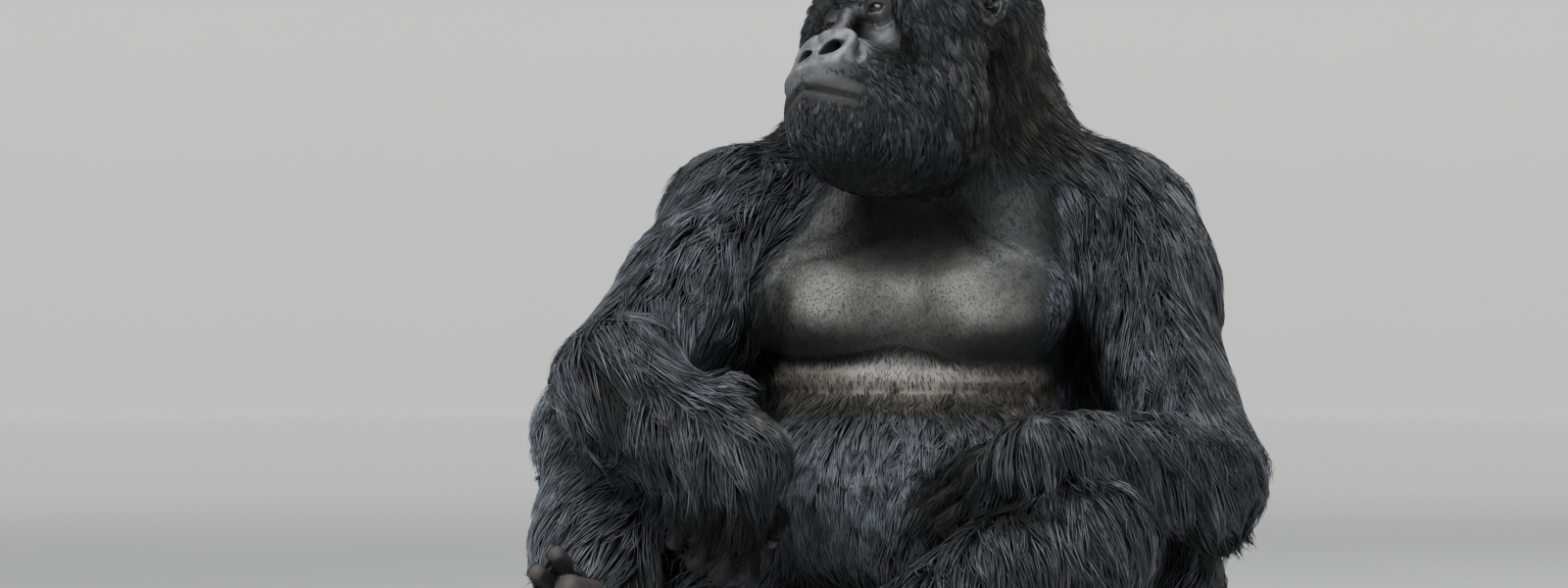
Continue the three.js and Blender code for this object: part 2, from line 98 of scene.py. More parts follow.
WORLD = place(0, 0, 0, 0, 0, 0)
TRUNK = place(-10, 0, 0, 22, 0, 0)
HEAD = place(-45.4, -11.8, -15.9, 21, -110, 790)
SIDES = {"right": -1, "left": 1}
JOINTS = {
    "right": {
        "shoulder": (-190, 45, 586),
        "elbow": (-340, -255, 395),
        "wrist": (-192, -378, 318),
        "triceps": (-252, -84, 472),
        "hip": (-100, 60, 140),
        "haunch": (-190, 20, 160),
        "knee": (-358, -62, 328),
        "calf": (-378, -145, 205),
        "ankle": (-346, -234, 86),
    },
    "left": {
        "shoulder": (254, 55, 582),
        "elbow": (344, -215, 290),
        "wrist": (150, -308, 318),
        "triceps": (302, -10, 500),
        "hip": (165, 80, 142),
        "haunch": (276, -52, 148),
        "knee": (205, -305, 208),
        "calf": (95, -352, 158),
        "ankle": (-75, -425, 80),
    },
}
FOOT = {
    "right": aimed_place((0.557, 0.587, -0.587), (0.624, 0.171, 0.763), JOINTS["right"]["ankle"]),
    "left": aimed_place((0.95, 0.3, 0.1), (0.2, -0.75, -0.6), JOINTS["left"]["ankle"]),
}
HAND = {
    "right": aimed_place((0.26, -0.3, 0.92), (1, 0, -0.28), JOINTS["right"]["wrist"]),
    "left": aimed_place((0.78, -0.36, 0.5), (0.15, -0.7, -0.74), JOINTS["left"]["wrist"]),
}
EYE_IN_FRAME = (34, -106, 19)
EYE = np.array([36.5, -104, 10])
EYE_RADIUS = 12.5

eye_low, eye_high = (np.array(corner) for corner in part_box("eye_left"))
SHIFT = (eye_low + eye_high) / 2 - out_of(HEAD, EYE_IN_FRAME) / 1000
SHIFT[2] = 0


def metres(points):
    return np.asarray(points) / 1000 + SHIFT


# ---------------------------------------------------------------- balls and bones
# Each has the coat's depth over the skin, the hair's length and the way the hair lies.


def haired(home, blend, coat, hair, lie, **form):
    return SimpleNamespace(blend=blend, coat=coat, hair=hair, lie=home.turn @ unit(lie), **form)


def ball(home, centre, radii, blend, coat, hair, lie, yaw=0, pitch=0, roll=0):
    turn = home.turn @ rotation(yaw, pitch, roll)
    form = dict(centre=out_of(home, centre), turn=turn, radii=np.array(radii, float))
    return haired(home, blend, coat, hair, lie, **form)


def bone(home, start, end, start_radius, end_radius, blend, coat, hair, lie):
    form = dict(start=out_of(home, start), end=out_of(home, end), turn=None)
    return haired(home, blend, coat, hair, lie, radii=(start_radius, end_radius), **form)


def flipped(point):
    return (-point[0], point[1], point[2])


def two_balls(home, centre, radii, blend, coat, hair, lie, yaw=0):
    right = ball(home, centre, radii, blend, coat, hair, lie, yaw)
    return [right, ball(home, flipped(centre), radii, blend, coat, hair, flipped(lie), -yaw)]


def two_bones(home, start, end, start_radius, end_radius, blend, coat, hair, lie):
    radii = (start_radius, end_radius)
    other = bone(home, flipped(start), flipped(end), *radii, blend, coat, hair, flipped(lie))
    return [bone(home, start, end, *radii, blend, coat, hair, lie), other]


DOWN = (0, 0, -1)


def trunk_shapes():
    return [
        ball(TRUNK, (0, 85, 124), (212, 185, 135), 60, 22, 60, (0, 0.3, -1)),  # rump
        ball(TRUNK, (0, -20, 255), (222, 225, 175), 70, 15, 56, (0, -0.1, -1)),  # belly
        ball(TRUNK, (0, 80, 340), (222, 150, 170), 60, 20, 50, (0, 0.2, -1)),  # loins
        ball(TRUNK, (0, 40, 470), (215, 185, 205), 70, 14, 46, DOWN),  # rib cage
        ball(TRUNK, (0, 85, 500), (262, 140, 190), 60, 20, 46, (0, 0.1, -1)),  # back muscles
        *two_balls(TRUNK, (88, -97, 488), (108, 88, 78), 36, 1, 12, (0.4, 0, -1), 12),  # breast
        *two_balls(TRUNK, (212, 84, 500), (86, 94, 150), 60, 22, 60, (0.1, -0.2, -1)),  # flanks
        ball(TRUNK, (0, 95, 600), (262, 125, 108), 60, 22, 50, (0, 0.3, -1)),  # shoulder blades
        *two_bones(TRUNK, (158, 75, 618), (66, 50, 735), 72, 90, 50, 12, 30, (0.9, 0.2, -0.6)),  # trapezius
        bone(TRUNK, (0, 30, 630), (26, -15, 725), 118, 92, 40, 8, 20, (0, 0, -1)),  # neck
        bone(TRUNK, (24, 92, 670), (62, -8, 822), 112, 94, 50, 14, 34, (0.1, 0.6, -0.9)),  # nape
    ]


def head_shapes():
    return [
        ball(HEAD, (0, 18, 52), (88, 116, 80), 30, 10, 30, (0, 1, -0.3)),  # brain case
        ball(HEAD, (0, 22, 105), (44, 92, 62), 40, 12, 34, (0, 1, -0.2), 0, -12),  # crest
        ball(HEAD, (0, 78, 62), (80, 66, 84), 40, 14, 36, (0, 0.7, -1)),  # nuchal muscles
        bone(HEAD, (-48, -100, 46), (48, -100, 46), 24, 24, 24, 3, 12, (0, 0.8, 0.9)),  # brow ridge
        *two_balls(HEAD, (68, -84, 38), (24, 28, 24), 24, 5, 18, (0.5, 0.9, 0.1)),  # brow ends
        ball(HEAD, (0, -66, 2), (76, 42, 62), 24, 1, 8, (0, 0.4, -1)),  # face
        *two_balls(HEAD, (84, -64, 4), (42, 54, 60), 24, 11, 32, (0.25, 0.5, -1)),  # cheek bones
        *two_balls(HEAD, (54, -12, -2), (42, 60, 76), 35, 12, 36, (0.1, 0.45, -1)),  # temples
        *two_balls(HEAD, (62, -36, -76), (50, 66, 68), 40, 14, 42, (0.05, 0.3, -1)),  # jaw muscles
        bone(HEAD, (0, -106, 20), (0, -148, -30), 17, 24, 20, 0, 5, (0, 0.4, -1)),  # nose bridge
        ball(HEAD, (0, -124, -78), (66, 68, 56), 30, 2, 10, (0, 0.6, -0.6)),  # muzzle
        *two_balls(HEAD, (20, -160, -50), (22, 20, 20), 14, 0, 4, (0.5, 0.6, -0.5)),  # nose wings
        ball(HEAD, (0, -166, -84), (56, 40, 25), 16, 0, 6, (0, 0.3, -1)),  # upper lip
        ball(HEAD, (0, -150, -130), (66, 58, 46), 22, 7, 22, (0, -0.25, -1)),  # lower lip and chin
        ball(HEAD, (0, -92, -138), (84, 82, 62), 40, 15, 38, (0, 0.1, -1)),  # beard under the jaw
        ball(HEAD, (0, -20, -120), (84, 90, 60), 50, 12, 36, (0, 0.3, -1)),  # throat
    ]


def ear_shapes(side):
    return [
        ball(HEAD, (108 * side, 7, 20), (12, 21, 33), 6, 0, 5, (0, 1, -0.5), -28 * side, -8, -8 * side),
        ball(HEAD, (98 * side, -2, 8), (14, 18, 28), 8, 0, 5, (0, 1, -0.5), -22 * side),
    ]


def between(start, end, share):
    return tuple(a + (b - a) * share for a, b in zip(start, end))


def toward(start, end, fall):
    """The way from start to end, bent down by its share of fall."""
    return unit(unit(np.subtract(end, start)) + np.array([0, 0, -fall]))


def arm_shapes(joints, fore_lie):
    shoulder, elbow, wrist = (joints[name] for name in ("shoulder", "elbow", "wrist"))
    lie = toward(shoulder, elbow, 0.6)
    return [
        ball(WORLD, shoulder, (106, 118, 100), 40, 24, 84, lie),
        bone(WORLD, shoulder, elbow, 98, 82, 40, 26, 112, lie),
        ball(WORLD, joints["triceps"], (92, 108, 122), 40, 26, 105, lie),
        bone(WORLD, elbow, wrist, 80, 60, 30, 26, 112, fore_lie),
    ]


def leg_shapes(joints, shin_lie):
    hip, haunch, knee, calf, ankle = (joints[name] for name in ("hip", "haunch", "knee", "calf", "ankle"))
    return [
        ball(WORLD, hip, (130, 140, 128), 40, 22, 74, toward(hip, knee, 0.8)),
        ball(WORLD, haunch, (120, 165, 125), 50, 24, 84, toward(hip, knee, 0.8)),
        bone(WORLD, hip, knee, 118, 90, 40, 22, 84, toward(hip, knee, 0.7)),
        bone(WORLD, knee, ankle, 88, 62, 30, 20, 80, shin_lie),
        ball(WORLD, calf, (80, 74, 88) if calf[0] > 0 else (80, 80, 95), 40, 24, 84, shin_lie),
    ]


def hand_shapes(joints, hand, side):
    elbow, wrist = joints["elbow"], joints["wrist"]
    back_of_hand = hand.turn @ np.array([0, -1, 0.1])
    tip = (0, -1, 0)
    return [
        bone(WORLD, between(elbow, wrist, 0.7), wrist, 66, 58, 20, 20, 84, back_of_hand),
        bone(hand, (-16 * side, -8, 0), (-26 * side, -84, 0), 32, 27, 20, 5, 46, tip),
        bone(hand, (16 * side, -8, 0), (27 * side, -80, 0), 32, 25, 20, 5, 46, tip),
    ]


def foot_shapes(joints, foot, side):
    knee, ankle = joints["knee"], joints["ankle"]
    tip = (0, -1, 0)
    return [
        bone(WORLD, between(knee, ankle, 0.7), ankle, 69, 60, 20, 16, 56, toward(knee, ankle, 0.2)),
        ball(foot, (0, 50, -46), (45, 52, 54), 20, 1, 6, tip),
        bone(foot, (0, 0, -20), (-4 * side, -95, -42), 44, 30, 20, 5, 26, tip),
        bone(foot, (-26 * side, -70, -46), (26 * side, -108, -48), 27, 25, 20, 0, 6, tip),
    ]


TOES = [
    ("hallux", ((-28, -78, -58), (-16, -130, -82), (-4, -165, -90)), 20),
    ("toe_2", ((-24, -106, -44), (-25, -150, -38), (-26, -180, -48)), 13.5),
    ("toe_3", ((2, -106, -44), (4, -154, -38), (4, -184, -48)), 13.5),
    ("toe_4", ((22, -102, -46), (33, -146, -40), (35, -176, -50)), 13.5),
    ("toe_5", ((38, -88, -48), (60, -128, -44), (65, -156, -52)), 12.5),
]
FINGERS = [
    ("thumb", ((-34, -34, -14), (-62, -78, -26), (-60, -106, -42)), 15),
    ("finger_2", ((-36, -76, 0), (-46, -144, -4), (-43, -162, -52)), 14.5),
    ("finger_3", ((-12, -76, 0), (-15, -152, -4), (-14, -168, -54)), 15),
    ("finger_4", ((13, -76, 0), (16, -146, -6), (15, -160, -54)), 14.5),
    ("finger_5", ((36, -70, 0), (45, -130, -8), (43, -142, -50)), 13),
]


def digit_shapes(home, side, digits):
    """Each digit's two lengths and the thicker pad of its joint."""
    shapes = []
    for _, joints, radius in digits:
        line = [(x * side, y, z) for x, y, z in joints]
        tip = (0, -1, 0)
        shapes.append(bone(home, line[0], line[1], radius * 0.93, radius * 0.9, 5, 2.6, 26, tip))
        shapes.append(bone(home, line[1], line[2], radius * 0.95, radius * 0.86, 5, 0, 3, tip))
    return shapes


# ---------------------------------------------------------------- the union


def smooth_min(a, b, blend):
    mix = np.maximum(blend - np.abs(a - b), 0) / blend
    return np.minimum(a, b) - mix * mix * blend / 4


def smooth_max(a, b, blend):
    return -smooth_min(-a, -b, blend)


def step(start, end, values):
    """0 up to the start and 1 from the end on, with a smooth change between. The end may be the lower."""
    share = np.clip((values - start) / (end - start), 0, 1)
    return share * share * (3 - 2 * share)


def bell(offset, width):
    """1 where the offset is 0, and falling away on both sides."""
    return np.exp(-((offset / width) ** 2))


def along_line(points, start, end):
    """Each point's nearest place on a line, as a share of its length, and the distance to it."""
    line = end - start
    away = points - start
    share = np.clip(away @ line / max(line @ line, 1e-9), 0, 1)
    return share, np.linalg.norm(away - share[:, None] * line, axis=1)


def distance_to(points, shape):
    if shape.turn is None:
        share, apart = along_line(points, shape.start, shape.end)
        first, last = shape.radii
        return apart - first - (last - first) * share
    away = (points - shape.centre) @ shape.turn
    near = np.linalg.norm(away / shape.radii, axis=1)
    slope = np.linalg.norm(away / shape.radii**2, axis=1)
    return near * (near - 1) / np.maximum(slope, 1e-9)


def group(name, shapes, blend, anchor=None, far_blend=4.0, reach=1.0):
    """Shapes that join each other first. Near its anchor the group blends widely with the rest."""
    ends = []
    for shape in shapes:
        ends += [shape.start, shape.end] if shape.turn is None else [shape.centre]
    middle = np.mean(ends, axis=0)
    size = max(np.max(s.radii) for s in shapes) + distance_from(ends, middle).max()
    joined = dict(blend=blend, anchor=anchor, far_blend=far_blend, reach=reach)
    return SimpleNamespace(name=name, shapes=shapes, middle=middle, size=size, **joined)


FORE_LIE = {"right": (0.2, 0.0, -0.9), "left": toward(JOINTS["left"]["wrist"], JOINTS["left"]["elbow"], 0.7)}
SHIN_LIE = {"right": (-0.7, -0.3, -0.8), "left": (0.3, -0.25, -1)}


def body_groups():
    groups = [group("torso", trunk_shapes() + head_shapes(), 1)]
    for word, side in SIDES.items():
        joints = JOINTS[word]
        groups += [
            group("ear_" + word, ear_shapes(side), 5),
            group("leg_" + word, leg_shapes(joints, SHIN_LIE[word]), 46, joints["hip"], 5, 300),
            group("arm_" + word, arm_shapes(joints, FORE_LIE[word]), 40, joints["shoulder"], 4, 250),
            group("foot_" + word, foot_shapes(joints, FOOT[word], side), 10, joints["ankle"], 4, 110),
            group("hand_" + word, hand_shapes(joints, HAND[word], side), 12, joints["wrist"], 4, 110),
            group("toes_" + word, digit_shapes(FOOT[word], side, TOES), 5),
            group("fingers_" + word, digit_shapes(HAND[word], side, FINGERS), 5),
        ]
    return groups


GROUPS = body_groups()
SHAPE_GROUP = [g.name for g in GROUPS for _ in g.shapes]
# How fast a shape's say in the coat falls off, and how far out of reach a group is left out.
WIDTH_OF_WEIGHTS = 16.0
FAR_AWAY = 110.0


def group_distance(points, shapes, columns):
    nearest = None
    for shape in shapes:
        distance = distance_to(points, shape)
        columns.append(distance)
        nearest = distance if nearest is None else smooth_min(nearest, distance, shape.blend)
    return nearest


def blend_at(points, g):
    """The width of a group's blend with the rest, which is greater near its anchor."""
    if g.anchor is None:
        return g.blend
    apart = distance_from(points, g.anchor) / g.reach
    return g.far_blend + (g.blend - g.far_blend) * step(1.0, 0.55, apart)


def survey(points, details=False):
    """The distance to the coat's outline and the coat's depth at each point.

    With details: the distance, the depth with the hair's length and lie, and the nearest shape's number.
    """
    total = np.full(len(points), 1e4)
    weight = np.full(len(points), 1e-20)
    traits = np.zeros((len(points), 5 if details else 1))
    nearest, owner = np.full(len(points), 1e4), np.zeros(len(points), int)
    first = 0
    for g in GROUPS:
        from_middle = distance_from(points, g.middle)
        close = np.flatnonzero(from_middle < g.size + FAR_AWAY)
        columns = []
        if len(close):
            distance = group_distance(points[close], g.shapes, columns)
            total[close] = smooth_min(total[close], distance, blend_at(points[close], g))
        for number, (shape, column) in enumerate(zip(g.shapes, columns)):
            share = np.exp(-np.clip(column, -90, 300) / WIDTH_OF_WEIGHTS)
            weight[close] += share
            values = [shape.coat, shape.hair, *shape.lie] if details else [shape.coat]
            traits[close] += share[:, None] * np.array(values)
            if details:
                closer = column < nearest[close]
                nearest[close[closer]] = column[closer]
                owner[close[closer]] = first + number
        first += len(g.shapes)
    traits /= weight[:, None]
    return (total, traits, owner) if details else (total, traits[:, 0])


def bare_chest(points):
    """1 on the bare breast, 0 where the coat is full."""
    x, y, z = into(TRUNK, points).T
    inside = step(376, 398, z) * step(690, 610, z) * step(-20, 50, -y)
    side = np.abs(x + 8) + 0.55 * np.maximum(z - 500, 0) * (x < 0)
    return inside * step(192, 150, side)


# ---------------------------------------------------------------- skin details
# Swells and hollows of the skin: middle (x, z), reach (x, z) and height, in the trunk's and the head's frame.
TRUNK_RELIEF = [
    ((-92, 456), (56, 28), 13.0),
    ((102, 452), (62, 28), 13.0),
    ((-138, 478), (32, 24), 6.0),
    ((150, 476), (32, 24), 6.0),
    ((0, 486), (30, 56), 3.0),
    ((-10, 566), (105, 30), -7.0),
    ((-84, 592), (40, 12), 5.0),
]
HEAD_RELIEF = [
    ((0, -4), (20, 15), -8.0),
    ((-36, 12), (19, 14), -4.0),
    ((36, 12), (19, 14), -4.0),
    ((4, -24), (34, 15), -9.0),
]
# The hollow in front of the right elbow: middle, reach and depth.
ELBOW_HOLLOW = (np.array([-376.0, -322, 405]), 40.0, 22.0)


def relief(points, home, bumps, front):
    """How far the skin is raised on the front of the trunk or head."""
    x, y, z = into(home, points).T
    height = np.zeros(len(points))
    for (middle_x, middle_z), (reach_x, reach_z), raised in bumps:
        height += raised * bell(x - middle_x, reach_x) * bell(z - middle_z, reach_z)
    return height * step(0, 40, front - y)


def distance_to_line(points, line):
    nearest = np.full(len(points), 1e4)
    for start, end in zip(line[:-1], line[1:]):
        nearest = np.minimum(nearest, along_line(points, start, end)[1])
    return nearest


def tube(points, line, radii):
    """The distance to a tube along a line, with a radius at each of the line's points."""
    nearest = np.full(len(points), 1e4)
    for start, end, first, last in zip(line[:-1], line[1:], radii[:-1], radii[1:]):
        share, apart = along_line(points, start, end)
        nearest = smooth_min(nearest, apart - first - (last - first) * share, 3.0)
    return nearest


def bend(line, steps=5):
    """A smooth line through the given points."""
    line = np.array(line, float)
    padded = np.vstack([2 * line[0] - line[1], line, 2 * line[-1] - line[-2]])
    points = []
    for a, b, c, d in zip(padded[:-3], padded[1:-2], padded[2:-1], padded[3:]):
        for t in np.linspace(0, 1, steps, endpoint=False):
            square, cube = 2 * a - 5 * b + 4 * c - d, 3 * b - a - 3 * c + d
            points.append(0.5 * (2 * b + (c - a) * t + square * t**2 + cube * t**3))
    return np.array(points + [line[-1]])


MOUTH = [(0, -198, -99), (12, -197, -102), (26, -193, -109), (42, -185, -117)]
MOUTH += [(54, -174, -123), (66, -155, -128)]
# Grooves on the head, in its own frame, on the animal's left and mirrored: line, depth, half width.
HEAD_GROOVES = [
    (MOUTH, 4.5, 3.0),
    ([(0, -190, -76), (0, -196, -92)], 2.2, 3.0),
    ([(50, -178, -76), (56, -165, -81), (60, -152, -89), (63, -138, -99), (65, -134, -114)], 4.5, 4.0),
    ([(48, -160, -30), (55, -158, -44), (59, -156, -60), (57, -164, -74)], 5.5, 3.2),
    ([(62, -124, -70), (68, -122, -88), (70, -124, -104)], 2.6, 4.0),
    ([(16, -124, 4), (30, -112, -3), (46, -100, -3), (60, -92, 4)], 3.5, 1.8),
    ([(18, -126, -6), (32, -114, -12), (50, -102, -13), (66, -92, -6)], 3.8, 1.8),
    ([(22, -130, -14), (36, -118, -21), (54, -106, -24)], 3.5, 1.8),
    ([(26, -136, -22), (40, -124, -31), (56, -112, -36)], 3.2, 1.7),
    ([(32, -142, -30), (46, -132, -42), (58, -120, -50)], 3.2, 1.7),
    ([(40, -148, -38), (51, -142, -50), (58, -132, -62)], 2.2, 1.7),
    ([(47, -152, -44), (55, -146, -58), (61, -138, -74)], 2.2, 1.7),
    ([(20, -120, -1), (34, -108, -8), (52, -98, -8)], 1.6, 1.4),
    ([(12, -122, 32), (24, -122, 29), (40, -118, 30), (54, -108, 28)], 3.0, 2.6),
    ([(0, -124, 26), (11, -122, 23)], 2.6, 2.2),
    ([(0, -124, 17), (12, -122, 13)], 2.2, 2.0),
    ([(0, -126, 8), (10, -124, 5)], 1.8, 2.0),
    ([(7, -128, 44), (9, -124, 60)], 2.6, 3.0),
]
# Grooves on the chest, in the trunk's frame.
CREASE = [(-193, -23, 446), (-144, -104, 434), (-85, -141, 431), (-27, -146, 430), (7, -145, 427)]
CREASE += [(41, -142, 424), (89, -127, 420), (120, -109, 420), (151, -86, 426), (168, -62, 435)]
CHEST_GROOVES = [
    (CREASE, 12.0, 5.0),
    ([(x, y, z - 8) for x, y, z in CREASE[1:-1]], 3.4, 2.6),
    ([(x, y, z - 14) for x, y, z in CREASE[2:-2]], 2.0, 2.2),
    ([(x, y, z + 7) for x, y, z in CREASE[2:5]], 1.6, 2.0),
    ([(x, y, z + 7) for x, y, z in CREASE[5:8]], 1.8, 2.0),
    ([(-36, -140, 577), (-81, -167, 562), (-134, -161, 549)], 5.0, 9.0),
    ([(54, -122, 596), (93, -159, 570), (128, -169, 541), (156, -158, 520)], 4.5, 9.0),
    ([(-30, -140, 600), (-84, -140, 592), (-130, -130, 584)], 2.5, 6.0),
    ([(70, -110, 606), (120, -130, 574), (150, -140, 548)], 2.5, 5.0),
]
# Creases of the coat itself, in the animal's layout: between the muscles of the left upper arm.
ARM_CREASES = [
    ([(296, -60, 610), (290, -80, 570), (284, -100, 535), (312, -110, 500)], 11.0, 14.0),
]
# Creases of each sole, in its foot's frame.
SOLE_CREASES = []
for crease_y in (-38, -52, -66, -80, -94):
    SOLE_CREASES.append(([(-34, crease_y + 5, -78), (0, crease_y, -82), (34, crease_y - 4, -76)], 2.4, 2.4))


def groove_depth(points, grooves):
    depth = np.zeros(len(points))
    for line, deep, half_width in grooves:
        low, high = line.min(0) - 3 * half_width, line.max(0) + 3 * half_width
        near = np.flatnonzero(np.all((points > low) & (points < high), axis=1))
        if len(near):
            apart = distance_to_line(points[near], line)
            depth[near] += deep * bell(apart, half_width)
    return depth


# The nose turns a little to the animal's left. Its rolled rim and the pits of its nostrils, on the left side.
NOSE_TURN = 8.0
NOSE_RIM = [(6, -186, -71), (20, -187, -74), (34, -181, -70), (41, -171, -60), (40, -163, -48)]
NOSE_RIM = bend(NOSE_RIM + [(31, -165, -40), (17, -171, -38), (5, -175, -38)], 3)
ALONG_RIM = np.linspace(0, 1, len(NOSE_RIM))
NOSE_RIM_RADII = np.interp(ALONG_RIM, [0, 0.25, 0.5, 0.8, 1], [4.5, 4.5, 7.0, 8.5, 7.5])
NOSTRIL = np.array([21.0, -183, -55])
NOSTRIL_AXES = np.array([unit((34, 13, 9)), unit((-8, -4, 30)), unit((4, 30, 6))])
NOSTRIL_RADII = np.array([16.5, 8.6, 17.0])
NOSTRIL_PIT = np.array([(22.0, -178, -55), (15, -152, -44)])
LOWER_LIP = bend([(0, -192, -106), (26, -188, -115), (44, -179, -124), (57, -164, -131)], 3)
UPPER_LIP = bend([(0, -192, -93), (24, -188, -101), (42, -180, -110), (57, -166, -118)], 3)


def above_mouth(x, z):
    """How far a point of the head, folded onto its left half, stands above the line of the mouth."""
    return z + 99 + 0.42 * x


def lids(distance, away):
    """Cuts the eye's opening and lays the lids round it. away is measured from the eye's centre."""
    x, y, z = away.T
    reach = np.linalg.norm(away, axis=1)
    shell = reach - EYE_RADIUS - 1.8
    upper_shell = distance_from(away, (0, -1.5, 3)) - EYE_RADIUS - 2.6
    distance = smooth_min(distance, smooth_min(shell, upper_shell, 2.0), 13.0)
    arch = np.maximum(1 - (x / 12.5) ** 2, -0.6)
    height = z + 2.5 - 0.12 * x
    opening = np.maximum(height - 4.6 * arch, -height - 4.2 * arch)
    opening = np.maximum(opening, y + 1)
    opening = np.maximum(opening, EYE_RADIUS - 2.5 - reach)
    return smooth_max(distance, -opening, 1.0)


EAR = {"left": place(-28, -8, -8, 105, 9, 18), "right": place(28, -8, 8, -105, 9, 18)}
EAR_RIM = [(0, -12, -24), (2, -16, -8), (3, -14, 12), (3, -4, 26)]
EAR_RIM = bend(EAR_RIM + [(3, 8, 25), (3, 15, 10), (2, 14, -8), (1, 6, -22)], 3)


def ear_detail(distance, local, side, word):
    """A rolled rim, a hollow and a small ridge in the ear."""
    own = into(EAR[word], local)
    own[:, 0] *= side
    rim = tube(own, EAR_RIM, np.full(len(EAR_RIM), 4.2))
    distance = smooth_min(distance, rim, 3.0)
    hollow = np.linalg.norm((own - (11, 0, -1)) / (13, 9, 17), axis=1) - 1
    distance = smooth_max(distance, -hollow * 9, 4.0)
    ridge = tube(own, np.array([(1.0, 9, 16), (2, 5, 2), (0, 3, -14)]), np.array([3.0, 3.2, 2.6]))
    tragus = distance_from(own, (2, -13, -6)) - 6
    return smooth_min(smooth_min(distance, ridge, 3.0), tragus, 4.0)


def turned_nose(local):
    """Points near the nose, folded onto the left half of the nose."""
    x, y, z = local.T
    share = step(-145, -165, y) * step(-92, -76, z)
    return np.stack([np.abs(x - NOSE_TURN * share), y, z], 1)


def head_detail(distance, local):
    """The nose, nostrils, lips, lids and folds of the face, on points in the head's frame."""
    half = local.copy()
    half[:, 0] = np.abs(half[:, 0])
    nose = turned_nose(local)
    distance = smooth_min(distance, tube(nose, NOSE_RIM, NOSE_RIM_RADII), 8.0)
    distance = smooth_min(distance, tube(half, UPPER_LIP, np.full(len(UPPER_LIP), 6.4)), 14.0)
    distance = smooth_min(distance, tube(half, LOWER_LIP, np.full(len(LOWER_LIP), 6.2)), 6.0)
    distance = distance + groove_depth(half, FACE_LINES)
    into_nostril = (nose - NOSTRIL) @ NOSTRIL_AXES.T / NOSTRIL_RADII
    nostril = (np.linalg.norm(into_nostril, axis=1) - 1) * NOSTRIL_RADII[1]
    distance = smooth_max(distance, -nostril, 3.0)
    distance = smooth_max(distance, -tube(nose, NOSTRIL_PIT, np.array([8.0, 5.5])), 3.0)
    by_eye = np.flatnonzero(distance_from(half, EYE) < 40)
    if len(by_eye):
        distance[by_eye] = lids(distance[by_eye], half[by_eye] - EYE)
    for word, side in SIDES.items():
        by_ear = np.flatnonzero(distance_from(local, EAR[word].origin) < 52)
        if len(by_ear):
            distance[by_ear] = ear_detail(distance[by_ear], local[by_ear], side, word)
    return distance


def plain_skin(points):
    outline, coat = survey(points)
    raised = relief(points, TRUNK, TRUNK_RELIEF, -20) + relief(points, HEAD, HEAD_RELIEF, -80)
    middle, reach, deep = ELBOW_HOLLOW
    hollow = deep * bell(distance_from(points, middle), reach)
    return outline + coat * (1 - bare_chest(points)) - raised + hollow


def skin(points):
    distance = plain_skin(points)
    local = into(HEAD, points)
    low, high = np.array([-140, -215, -175]), np.array([140, 60, 75])
    by_face = np.flatnonzero(np.all((local > low) & (local < high), axis=1))
    if len(by_face):
        distance[by_face] = head_detail(distance[by_face], local[by_face])
    own = into(TRUNK, points)
    by_chest = np.flatnonzero((own[:, 1] < 0) & (own[:, 2] > 380) & (own[:, 2] < 640))
    if len(by_chest):
        distance[by_chest] += groove_depth(own[by_chest], CHEST_LINES)
    for word in SIDES:
        by_sole = np.flatnonzero(distance_from(points, out_of(FOOT[word], (0, -66, -60))) < 75)
        if len(by_sole):
            distance[by_sole] += groove_depth(into(FOOT[word], points[by_sole]), SOLE_LINES[word])
    return distance + groove_depth(points, ARM_LINES)


def gradient(field, points, here, reach=0.6):
    return np.stack([(field(points + reach * axis) - here) / reach for axis in np.eye(3)], axis=1)


def settle(field, points, passes, most=8.0):
    """Moves points onto the surface, a limited distance at each pass."""
    points = points.copy()
    for _ in range(passes):
        here = field(points)
        slope = gradient(field, points, here)
        move = slope * (here / np.maximum((slope**2).sum(1), 0.3))[:, None]
        size = np.linalg.norm(move, axis=1, keepdims=True)
        points -= move * np.minimum(1, most / np.maximum(size, 1e-9)) * 0.9
    return points


def laid_on(home, grooves):
    """Grooves as smooth lines on the plain skin."""
    laid = []
    for line, deep, half_width in grooves:
        points = settle(plain_skin, out_of(home, bend(line)), 4, 20.0)
        laid.append((into(home, points), deep, half_width))
    return laid


FACE_LINES = laid_on(HEAD, HEAD_GROOVES)
CHEST_LINES = laid_on(TRUNK, CHEST_GROOVES)
ARM_LINES = laid_on(WORLD, ARM_CREASES)
SOLE_LINES = {word: laid_on(FOOT[word], SOLE_CREASES) for word in SIDES}

# ---------------------------------------------------------------- meshing the skin

# The side of the grid's cells, and how many of them lie along a side of a coarse block.
CELL = 9.8
COARSE = 4


def parts_of(points, size=60000):
    """Slices of a long row of points, to save memory."""
    return [slice(i, i + size) for i in range(0, len(points), size)]


def in_parts(field, points):
    return np.concatenate([field(points[part]) for part in parts_of(points)])


def survey_in_parts(points):
    rows = [survey(points[part], True) for part in parts_of(points)]
    return tuple(np.concatenate(column) for column in zip(*rows))


def gradient_in_parts(points, here):
    return np.vstack([gradient(plain_skin, points[part], here[part], 1.0) for part in parts_of(points)])


def normals_at(points):
    """The way out of the skin."""
    return unit(gradient_in_parts(points, in_parts(plain_skin, points)))


def grid_field(low, shape):
    """The skin's distance at grid nodes: exact near the surface, and only its sign elsewhere."""
    counts = [n // COARSE + 2 for n in shape]
    axes = [low[a] + CELL * COARSE * np.arange(counts[a]) for a in range(3)]
    nodes = np.stack(np.meshgrid(*axes, indexing="ij"), -1).reshape(-1, 3)
    coarse = in_parts(skin, nodes).reshape(counts)
    near = np.abs(coarse) < CELL * COARSE * 1.45
    for axis in range(3):
        near = near | np.roll(near, 1, axis)
    fine = [np.arange(n) for n in shape]
    block = np.ix_(*[f // COARSE for f in fine])
    values = coarse[block].copy()
    active = near[block]
    index = np.argwhere(active)
    values[active] = in_parts(skin, low + CELL * index)
    return values


def at_corner(values, corner):
    """A grid's values at one corner of each of its cells."""
    i, j, k = corner
    ends = [size - 1 + first for size, first in zip(values.shape, corner)]
    return values[i : ends[0], j : ends[1], k : ends[2]]


